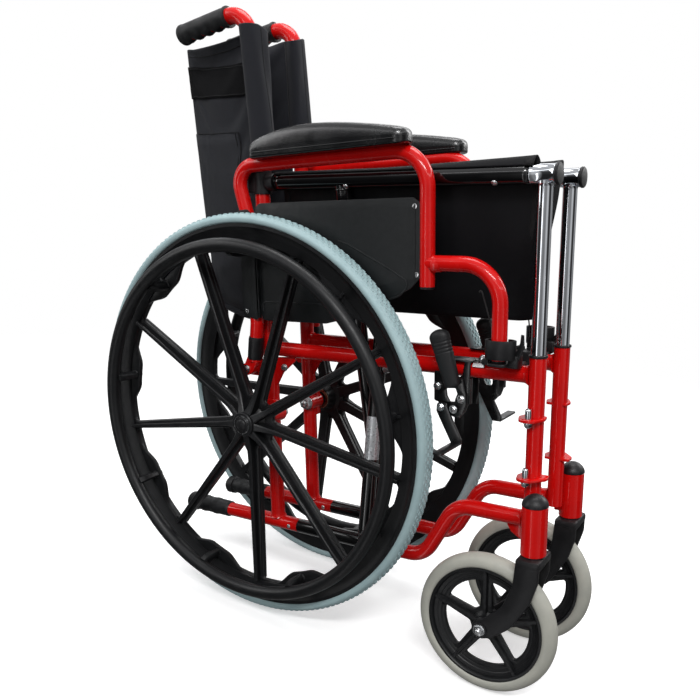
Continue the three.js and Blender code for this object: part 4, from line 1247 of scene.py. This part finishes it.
# ---- Cloth ----
def cloth_sheet(name, grid, material, thickness=1.1, mirrored=False):
    """A sheet of cloth from a grid of points in the chair's frame, with a UV map in metres."""
    rows, columns = len(grid), len(grid[0])
    mesh = bpy.data.meshes.new(name)
    points = [CHAIR @ Vector((p[0], -p[1] if mirrored else p[1], p[2])) for row in grid for p in row]
    faces = [(i * columns + k, i * columns + k + 1, (i + 1) * columns + k + 1, (i + 1) * columns + k)
             for i in range(rows - 1) for k in range(columns - 1)]
    mesh.from_pydata(points, [], faces)
    along_u, along_v = np.zeros((rows, columns)), np.zeros((rows, columns))
    spots = np.array([tuple(p) for p in points]).reshape(rows, columns, 3)
    along_u[:, 1:] = np.cumsum(np.linalg.norm(np.diff(spots, axis=1), axis=2), axis=1)
    along_v[1:, :] = np.cumsum(np.linalg.norm(np.diff(spots, axis=0), axis=2), axis=0)
    layer = mesh.uv_layers.new(name="cloth_metres")
    for loop in mesh.loops:
        i, k = divmod(loop.vertex_index, columns)
        layer.data[loop.index].uv = (along_u[i, k], along_v[i, k])
    mesh.materials.append(material)
    for polygon in mesh.polygons:
        polygon.use_smooth = True
    made = bpy.data.objects.new(name, mesh)
    bpy.context.scene.collection.objects.link(made)
    made["thickness"] = thickness * MM
    return made


def settle(sheet, pinned, slack, cap, frames=24, quality=6):
    """Lets the cloth hang: grows it by slack, runs the simulation and limits how far a point moves."""
    before = np.array([v.co for v in sheet.data.vertices])
    group = sheet.vertex_groups.new(name="pins")
    for index, weight in pinned.items():
        group.add([index], weight, "REPLACE")
    cloth = sheet.modifiers.new("cloth", "CLOTH")
    settings = cloth.settings
    settings.quality = quality
    settings.mass = 0.25
    settings.tension_stiffness = 18
    settings.compression_stiffness = 18
    settings.shear_stiffness = 6
    settings.bending_stiffness = 0.6
    settings.shrink_min = -slack
    settings.shrink_max = -slack
    settings.vertex_group_mass = "pins"
    cloth.collision_settings.use_collision = False
    cloth.collision_settings.use_self_collision = False
    scene = bpy.context.scene
    for number in range(1, frames + 1):
        scene.frame_set(number)
    evaluated = sheet.evaluated_get(bpy.context.evaluated_depsgraph_get())
    after = np.array([v.co for v in evaluated.data.vertices])
    sheet.modifiers.remove(cloth)
    sheet.vertex_groups.clear()
    scene.frame_set(1)
    change = after - before
    far = np.linalg.norm(change, axis=1, keepdims=True)
    change *= np.minimum(1.0, cap * MM / np.maximum(far, 1e-9))
    sheet.data.vertices.foreach_set("co", (before + change).astype(np.float32).ravel())
    sheet.data.update()


def thickened(sheet, subdivide=1):
    """Gives the cloth its thickness and smooths it, and keeps the result as the mesh."""
    if subdivide:
        fine = sheet.modifiers.new("fine", "SUBSURF")
        fine.levels = fine.render_levels = subdivide
    thick = sheet.modifiers.new("thick", "SOLIDIFY")
    thick.thickness = sheet["thickness"]
    thick.offset = 0
    made = bpy.data.meshes.new_from_object(sheet.evaluated_get(bpy.context.evaluated_depsgraph_get()))
    sheet.modifiers.clear()
    sheet.data = made
    return sheet


def grid_pins(rows, columns, edges):
    """Pins whole edges of a grid: first_row, last_row, first_column or last_column."""
    pins = {}
    for i in range(rows):
        for k in range(columns):
            on = (("first_row" in edges and i == 0) or ("last_row" in edges and i == rows - 1)
                  or ("first_column" in edges and k == 0) or ("last_column" in edges and k == columns - 1))
            if on:
                pins[i * columns + k] = 1.0
    return pins


BACK_TOP, SLEEVE_LOW = 857.5, 688
CREASE = ((470, 501, 543, 604, 858), (-155.6, -157.2, -157.8, -163.7, -181.0))
BACK_COLUMNS, BACK_ROWS = 30, 64


def back_edges(share):
    """Lowest and highest place of the back panel: share 0 at the cane and 1 at the crease."""
    return 447 + 23 * share ** 2.5, BACK_TOP - 3.2 * math.sin(math.pi * min(1.0, share * 1.05)) - 2.5 * share


def back_panel_point(share, z):
    cane = cane_at(z)
    front = Vector((cane[0] - 7, cane[1] + 12, z))
    place = front.lerp(Vector((float(np.interp(z, *CREASE)), 0, z)), share)
    place.y -= 2.4 * math.sin(math.pi * share)
    return place


def back_sling(side):
    mirrored = side == "left"
    flip = -1 if mirrored else 1
    columns, rows = BACK_COLUMNS, BACK_ROWS
    grid = []
    for i in range(rows):
        row = []
        for k in range(columns):
            share = k / (columns - 1)
            low, high = back_edges(share)
            row.append(back_panel_point(share, low + (high - low) * i / (rows - 1)))
        grid.append(row)
    panel = cloth_sheet(f"{side}_back_sling", grid, BACK_CLOTH, 1.2, mirrored)
    settle(panel, grid_pins(rows, columns, ["first_column", "last_column"]), 0.012, 5.0)
    places = [TO_CHAIR @ v.co for v in panel.data.vertices]
    settled = [[Vector((p.x, p.y * flip,
                        p.z)) for p in places[i * columns:(i + 1) * columns]] for i in range(rows)]
    thickened(panel)
    bending(panel, "back")
    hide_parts(f"{side}_back_half")

    # The sleeve is a loop of the same cloth about the cane: tight behind it and slack towards the middle.
    tight = [(-12.2, -3), (-9.5, -8.6), (-3, -12.4), (6.4, -12.8), (15.4, -10.8), (21.4, -5), (21.4, 4),
             (17, 12), (12, 15.6), (5, 16), (-2, 15), (-9, 12), (-12.4, 6)]
    loose = [(-12.8, -4), (-10.4, -9.6), (-4.4, -13.2), (3, -13), (9.6, -10), (13, -4.4), (14.8, 4),
             (16.6, 13), (16, 20), (10, 22.6), (1, 19), (-7, 14.6), (-12, 7)]
    loop = []
    levels = 48
    for i in range(levels):
        share = i / (levels - 1)
        z = SLEEVE_LOW + (BACK_TOP + 3 - SLEEVE_LOW) * share
        ease = share ** 1.25
        corners = []
        for j, ((a, b), (c, d)) in enumerate(zip(tight, loose)):
            fold = 0.9 * math.sin(share * 9.0 + j * 1.9) * (0.3 + 0.7 * share) if 5 < j < 12 else 0.0
            corners.append((a + (c - a) * ease + fold, b + (d - b) * ease + fold * 0.7))
        smooth = closed_curve(corners, 72)
        brim = 2.4 * share ** 12
        x, y = cane_at(z)
        loop.append([Vector((x + a, y + b, z - brim * max(0.0, b) * 0.12)) for a, b in smooth + smooth[:1]])
    sleeve = cloth_sheet(f"{side}_back_sleeve", loop, BACK_CLOTH, 1.2, mirrored)
    thickened(sleeve)
    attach(sleeve, f"{side}_frame")
    seam = []
    for place in (33, 58):
        across = (place + 36) % 72
        route = [row[place] + (row[place] - row[across]).normalized() * 0.5 for row in loop[1:-1]]
        seam.append(sweep(route, lambda distance, share: circle(0.7, 6)))
    piece(f"{side}_sleeve_seams", seam, f"{side}_frame", TRIM_CLOTH, slot="back_nylon", sharp=80)
    back_trim(side, mirrored, settled)


def cane_at(z):
    """X and Y of the cane's centre line at this height. Its top leans back and out a little."""
    lean = max(0.0, (z - 700) / 181)
    return CANE_X + (CANE_CORNER.x - CANE_X) * lean, SIDE_Y + (CANE_TOP_Y - SIDE_Y) * lean


def closed_curve(corners, count):
    """Evenly spread points on a smooth closed curve through the corners."""
    made = []
    total = len(corners)
    for i in range(count):
        place = i * total / count
        k, t = int(place), place - int(place)
        p0, p1, p2, p3 = (Vector(corners[(k + j) % total]) for j in (-1, 0, 1, 2))
        made.append(tuple(0.5 * ((2 * p1) + (p2 - p0) * t + (2 * p0 - 5 * p1 + 4 * p2 - p3) * t * t
                                 + (3 * p1 - p0 - 3 * p2 + p3) * t ** 3)))
    return made


def bending(sheet, part):
    """Bakes the sheet's placement into its mesh, the same for the back and the seat."""
    if part == "back":
        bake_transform(sheet)
    else:
        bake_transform(sheet)


def back_trim(side, mirrored, settled):
    """The hook-and-loop band, the pocket and the stitching, laid on the panel's own settled shape."""
    def on_panel(share, z, proud):
        low, high = back_edges(share)
        down = min(BACK_ROWS - 1.001, max(0.0, (z - low) / (high - low) * (BACK_ROWS - 1)))
        over = min(BACK_COLUMNS - 1.001, max(0.0, share * (BACK_COLUMNS - 1)))
        i, k = int(down), int(over)
        u, v = down - i, over - k
        corner, beside = settled[i][k], settled[i][k + 1]
        above, across = settled[i + 1][k], settled[i + 1][k + 1]
        place = corner.lerp(beside, v).lerp(above.lerp(across, v), u)
        outward = (beside - corner).cross(above - corner).normalized()
        return place + outward * (proud if outward.y < 0 else -proud)

    def finish(made):
        bending(made, "back")

    def patch(name, low, high, from_share, material, proud, thickness):
        """A patch from from_share to the crease. low and high give heights at its two ends."""
        columns, rows = 30, 16
        grid = []
        for i in range(rows):
            row = []
            for k in range(columns):
                t, u = k / (columns - 1), i / (rows - 1)
                bottom, top = low[0] + (low[1] - low[0]) * t, high[0] + (high[1] - high[0]) * t
                row.append(on_panel(from_share + (0.999 - from_share) * t, bottom + (top - bottom) * u,
                                    proud))
            grid.append(row)
        made = cloth_sheet(name, grid, material, thickness, mirrored)
        thickened(made, 0)
        finish(made)

    patch(f"{side}_hook_band", (774, 783), (817, 829), 0.03, BAND_CLOTH, 1.9, 1.4)
    patch(f"{side}_back_pocket", (456, 476), (727, 731), 0.30, BACK_CLOTH, 1.5, 1.0)
    lines = [[(0.30 + 0.66 * t / 20, 727 + 4 * t / 20, 2.2) for t in range(21)],
             [(0.30, 460 + 267 * t / 40, 2.2) for t in range(41)],
             [(0.34, 462 + 265 * t / 40, 2.1) for t in range(41)],
             [(0.03 + 0.96 * t / 24, back_edges(0.03 + 0.96 * t / 24)[1] - 11, 0.8) for t in range(25)],
             [(0.04 + 0.95 * t / 24, 777 + 8.7 * t / 24, 2.8) for t in range(25)],
             [(0.04 + 0.95 * t / 24, 814 + 11.7 * t / 24, 2.8) for t in range(25)]]
    threads = [sweep([on_panel(*spot) for spot in line], lambda distance, share: circle(0.65,
                                                                                        6)) for line in lines]
    finish(piece(f"{side}_back_stitching", threads, None, TRIM_CLOTH, sharp=80))


SEAT_BACK_X, SEAT_FRONT_X = 27, 414
HEM_FRONT_X = 410
SEAT_LOW = 474


def seat_path(x):
    """The right half of the seat sling across the chair at x, from its screwed edge to the crease."""
    rise = 0.9 + 8.4 * max(0.0, (x - 200) / 214) ** 1.15
    wave = 1.2 * math.sin(x / 23.0) * max(0.0, (x - 150) / 265)
    y, z = SIDE_Y, SEAT_Z
    front = max(0.0, (x - 385) / 29)
    return [
        (y - 8.6, z + 9.6), (y - 6.6, z + TUBE_R + 0.7 + rise * 0.35),
            (y - 3.2, z + TUBE_R + 1.3 + rise * 0.9),
        (y + 1.5 + wave, z + TUBE_R + 1.5 + rise), (y + 7.0, z + TUBE_R - 0.6 + rise * 0.6),
            (y + 11.6, z + 3.5),
        (y + 13.4, z - 10), (y + 17.4, z - 40), (y + 23.4 + wave * 0.5, z - 78), (y + 31.4 + front * 3,
                                                                                  z - 112),
        (y + 40.6 + front * 2, z - 148), (0, SEAT_LOW - 3.5 + 4 * front),
    ]


def open_curve(corners, count):
    """Points evenly spread by length along a smooth open curve."""
    ends = [Vector(corners[0]) * 2 - Vector(corners[1]), *map(Vector, corners),
            Vector(corners[-1]) * 2 - Vector(corners[-2])]
    fine = []
    for k in range(len(corners) - 1):
        p0, p1, p2, p3 = ends[k:k + 4]
        for i in range(12):
            t = i / 12
            fine.append(0.5 * ((2 * p1) + (p2 - p0) * t + (2 * p0 - 5 * p1 + 4 * p2 - p3) * t * t
                               + (3 * p1 - p0 - 3 * p2 + p3) * t ** 3))
    fine.append(Vector(corners[-1]))
    lengths = [0.0]
    for a, b in zip(fine, fine[1:]):
        lengths.append(lengths[-1] + (b - a).length)
    made, k = [], 0
    for i in range(count):
        want = lengths[-1] * i / (count - 1)
        while k < len(fine) - 2 and lengths[k + 1] < want:
            k += 1
        part = (want - lengths[k]) / max(1e-9, lengths[k + 1] - lengths[k])
        made.append(fine[k].lerp(fine[k + 1], min(1.0, part)))
    return made


def seat_sling(side):
    mirrored = side == "left"
    columns, rows = 64, 54
    across = []
    for k in range(columns):
        x = SEAT_BACK_X + (SEAT_FRONT_X - SEAT_BACK_X) * k / (columns - 1)
        across.append([Vector((x, p[0], p[1])) for p in open_curve(seat_path(x), rows)])
    grid = [[across[k][i] for k in range(columns)] for i in range(rows)]
    for i, row in enumerate(grid):
        share = i / (rows - 1)
        for k in range(columns - 6, columns):
            row[k].x += (4.5 * math.sin(share * 7.0) - 3.0 * share) * (k - columns + 7) / 6
    sling = cloth_sheet(f"{side}_seat_sling", grid, SEAT_CLOTH, 1.2, mirrored)
    pins = grid_pins(rows, columns, ["first_row", "last_row"])
    fixed_rows = int(rows * 0.16)
    for i in range(fixed_rows):
        for k in range(columns):
            pins[i * columns + k] = 1.0
    settle(sling, pins, 0.014, 3.2)
    keep_clear(sling, side, grid, rows, columns)
    thickened(sling)
    bending(sling, "seat")
    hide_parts(f"{side}_seat_half")
    seat_trim(side, mirrored, grid)


def keep_clear(sling, side, grid, rows, columns):
    """Keeps the settled cloth between the cross bars outside it and the other half inside it."""
    flip = -1 if side == "left" else 1
    for i in range(rows):
        for k in range(columns):
            vertex = sling.data.vertices[i * columns + k]
            place = TO_CHAIR @ vertex.co
            start = grid[i][k]
            y = place.y * flip
            y = min(max(y, start.y - 1.0), -0.9 if i < rows - 1 else 0.0)
            vertex.co = CHAIR @ Vector((place.x, y * flip, place.z))
    sling.data.update()


def seat_trim(side, mirrored, grid):
    """Bindings sewn along the front and rear edges, and the screws that hold the sling to its rail."""
    for name, column in (("front_binding", -1), ("rear_binding", 0)):
        way = 1 if column == -1 else -1
        strip = []
        for row in grid:
            edge, inner = row[column], row[column - way * 2]
            out = (edge - inner).normalized()
            tangent = Vector(UP)
            normal = out.cross(tangent).normalized()
            section = []
            for along, off in ((-9, 1.5), (-3, 1.6), (1.2, 1.3), (1.8, 0), (1.2, -1.3), (-3, -1.6),
                               (-9, -1.5)):
                section.append(edge + out * along + normal * off)
            strip.append(section)
        binding = cloth_sheet(f"{side}_seat_{name}", strip, TRIM_CLOTH, 0.5, mirrored)
        thickened(binding, 0)
        bending(binding, "seat")
    # The sling's edge is a tight glossy hem, screwed to the outer side of its rail.
    hem = []
    for k in range(58):
        x = SEAT_BACK_X + (HEM_FRONT_X - SEAT_BACK_X) * k / 57
        tight = TUBE_R + 0.6 + 0.12 * math.sin(x / 9.0) * math.sin(x / 41.0)
        hem.append([Vector((x, SIDE_Y - tight * math.sin(a), SEAT_Z + tight * math.cos(a)))
                    for a in (math.radians(-8 + 176 * i / 30) for i in range(31))])
    wrap = cloth_sheet(f"{side}_seat_hem", hem, HEM_VINYL, 1.0, mirrored)
    thickened(wrap, 0)
    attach(wrap, f"{side}_guide")
    screws = []
    for x in (149, 367):
        screws += pan_head((x, SIDE_Y - 8.6, SEAT_Z - 9.2), (0, -0.68, -0.73), 4.2)
    piece(f"{side}_seat_screws", screws, f"{side}_guide", ZINC)


# ---- Build ----
for side in ("right", "left"):
    front_post(side)
    rails(side)
    back_cane(side)
    push_grip(side)
    rear_wheel(side)
    handrim(side)
    rear_tyre(side)
    caster(side)
    arm_tube(side)
    arm_pad(side)
    side_panel(side)
    arm_latch(side)
    wheel_lock(side)
    guide(side)
    back_sling(side)
    seat_sling(side)
cross_brace()


# ---- Stage, light and camera ----
FLOOR_REACH, FLOOR_RINGS, FLOOR_SPOKES = 2.6, 14, 96
FLOOR_FADES = (0.62, 0.82 * FLOOR_REACH)
# Grey against the bearing round the chair, told from this bearing, and against the height.
BOXES_FROM = math.radians(-60.6)
SOFT_BOXES = ((0.0, 0.30), (0.085, 0.34), (0.13, 0.72), (0.235, 0.72), (0.30, 0.05),
              (0.47, 0.05), (0.56, 0.55), (0.72, 0.16), (0.86, 0.62), (1.0, 0.62))
LOW_STRIPS = ((0.0, 0), (0.386, 0), (0.391, 1), (0.404, 1), (0.409, 0),
              (0.618, 0), (0.622, 0.3), (0.632, 0.3), (0.636, 0))
HIGH_BAR = ((0.0, 0), (0.485, 0), (0.505, 1), (0.545, 1), (0.565, 0))
STRIPS_TOP, STRIPS_GAIN, BAR_GAIN = 0.02, 6.5, 6.0
ABOVE_GREY, WHITE = (0.72, 0.72, 0.73, 1), (1, 1, 1, 1)


def floor():
    """A flat disc of floor that thins out to the plain white room around it."""
    points, faces = [ZERO], []
    for i in range(1, FLOOR_RINGS + 1):
        for k in range(FLOOR_SPOKES):
            angle = 2 * math.pi * k / FLOOR_SPOKES
            away = FLOOR_REACH * i / FLOOR_RINGS
            points.append((away * math.cos(angle), away * math.sin(angle), 0))
    for k in range(FLOOR_SPOKES):
        n = (k + 1) % FLOOR_SPOKES
        faces.append((0, 1 + k, 1 + n))
        for i in range(FLOOR_RINGS - 1):
            low, high = 1 + i * FLOOR_SPOKES, 1 + (i + 1) * FLOOR_SPOKES
            faces.append((low + k, high + k, high + n, low + n))
    mesh = bpy.data.meshes.new("floor")
    mesh.from_pydata(points, [], faces)
    m = Nodes("floor_paint", (0.84, 0.84, 0.84), 0.7, Emission_Color=WHITE, Emission_Strength=0.42)
    m.set("Roughness", m.ramp(m.noise(3, 3), 0.3, 0.7, 0.62, 0.78))
    distance = m.add("ShaderNodeVectorMath", operation="LENGTH")
    m.link(m.place, distance.inputs[0])
    m.set("Alpha", m.ramp(distance.outputs["Value"], *FLOOR_FADES, 1.0, 0.0))
    mesh.materials.append(m.material)
    made = bpy.data.objects.new("floor", mesh)
    made.location = (0, 0, -0.0004)
    made.visible_glossy = made.visible_diffuse = False
    bpy.context.scene.collection.objects.link(made)


def studio():
    """The camera sees a plain white room. Gloss and chrome see soft boxes and dark flags round the chair."""
    world = bpy.data.worlds.new("studio")
    bpy.context.scene.world = world
    world.use_nodes = True
    tree = world.node_tree

    def node(kind, values, output=0, **settings):
        made = tree.nodes.new(kind)
        for key, value in settings.items():
            setattr(made, key, value)
        for key, value in values.items():
            if isinstance(value, bpy.types.NodeSocket):
                tree.links.new(value, made.inputs[key])
            else:
                made.inputs[key].default_value = value
        return made.outputs[output]

    def maths(operation, *values):
        return node("ShaderNodeMath", dict(enumerate(values)), operation=operation)

    def ranged(value, low, high, out_low=0.0, out_high=1.0):
        return node("ShaderNodeMapRange", {"Value": value, "From Min": low, "From Max": high,
                                           "To Min": out_low, "To Max": out_high})

    def mixed(factor, first, second, **settings):
        return node("ShaderNodeMix", {"Factor": factor, 6: first, 7: second}, 2, data_type="RGBA", **settings)

    def stepped(source, stops):
        made = tree.nodes.new("ShaderNodeValToRGB")
        elements = made.color_ramp.elements
        while len(elements) < len(stops):
            elements.new(0.5)
        for element, (place, grey) in zip(elements, stops):
            element.position, element.color = place, (grey, grey, grey * 1.01, 1)
        tree.links.new(source, made.inputs[0])
        return made.outputs[0]

    split = tree.nodes.new("ShaderNodeSeparateXYZ")
    tree.links.new(node("ShaderNodeTexCoord", {}, "Generated"), split.inputs[0])
    east, north, height = split.outputs
    ray = tree.nodes.new("ShaderNodeLightPath").outputs
    bearing = maths("WRAP", maths("SUBTRACT", maths("ARCTAN2", north, east), BOXES_FROM), math.pi, -math.pi)
    around = stepped(maths("DIVIDE", maths("ABSOLUTE", bearing), math.pi), SOFT_BOXES)
    reflected = mixed(ranged(height, 0.2, 0.75), around, ABOVE_GREY)
    dimmed = mixed(1.0, reflected, ranged(height, -0.25, 0.05, 0.45, 1.0), blend_type="MULTIPLY")
    # Bright strips below eye level draw the lines down the posts. A narrow bar of light high up draws one
    # thin line along each level tube and hem.
    low_glossy = maths("MULTIPLY", maths("LESS_THAN", height, STRIPS_TOP), ray["Is Glossy Ray"])
    strips = maths("MULTIPLY", stepped(ranged(bearing, -math.pi, math.pi), LOW_STRIPS), low_glossy)
    bar = maths("MULTIPLY", stepped(height, HIGH_BAR), ray["Is Glossy Ray"])
    background = tree.nodes["Background"].inputs
    tree.links.new(mixed(ray["Is Camera Ray"], dimmed, WHITE), background["Color"])
    tree.links.new(maths("MULTIPLY_ADD", strips, STRIPS_GAIN, maths("MULTIPLY_ADD", bar, BAR_GAIN, 1.0)),
                   background["Strength"])


LIGHTS_AIM = Vector((0, 0, 0.4))


def soft_light(name, place, size, power):
    light = bpy.data.lights.new(name, "AREA")
    light.shape = "RECTANGLE"
    light.size, light.size_y = size
    light.energy = power
    made = bpy.data.objects.new(name, light)
    made.location = place
    made.rotation_mode = "QUATERNION"
    made.rotation_quaternion = (LIGHTS_AIM - Vector(place)).to_track_quat("-Z", "Y")
    bpy.context.scene.collection.objects.link(made)


CAMERA_AZIMUTH, CAMERA_PITCH = math.radians(29.41), math.radians(14.57)
CAMERA_AT = (747.7, -927.8, 599.9)
CAMERA_LENS = 38.38
CAMERA_SHIFT = (-0.0924, 0.0906)


def camera():
    """The camera stands where the photographer did, told in the chair's own frame."""
    toward = Vector((-math.sin(CAMERA_AZIMUTH) * math.cos(CAMERA_PITCH),
                     math.cos(CAMERA_AZIMUTH) * math.cos(CAMERA_PITCH), -math.sin(CAMERA_PITCH)))
    rightward = Vector((math.cos(CAMERA_AZIMUTH), math.sin(CAMERA_AZIMUTH), 0))
    turned = CHAIR.to_3x3().normalized()
    toward, rightward = turned @ toward, turned @ rightward
    basis = Matrix((rightward, rightward.cross(toward), -toward)).transposed().to_4x4()
    made = bpy.data.objects.new("camera", bpy.data.cameras.new("camera"))
    made.matrix_world = Matrix.Translation(CHAIR @ Vector(CAMERA_AT)) @ basis
    made.data.sensor_width = 36
    made.data.lens = CAMERA_LENS
    made.data.shift_x, made.data.shift_y = CAMERA_SHIFT
    made.data.clip_end = 100
    bpy.context.scene.collection.objects.link(made)
    bpy.context.scene.camera = made


floor()
studio()
for name, place, size, power in (("key", (1.1, -1.9, 2.5), (1.5, 0.34), 46),
                                 ("fill", (-2.4, -1.6, 1.3), (0.9, 1.8), 14),
                                 ("top", (-0.2, 0.3, 2.9), (1.8, 1.2), 40),
                                 ("rim", (1.2, 2.4, 1.8), (1.0, 1.4), 24)):
    soft_light(name, place, size, power)
camera()
bpy.context.scene.view_settings.view_transform = "Standard"
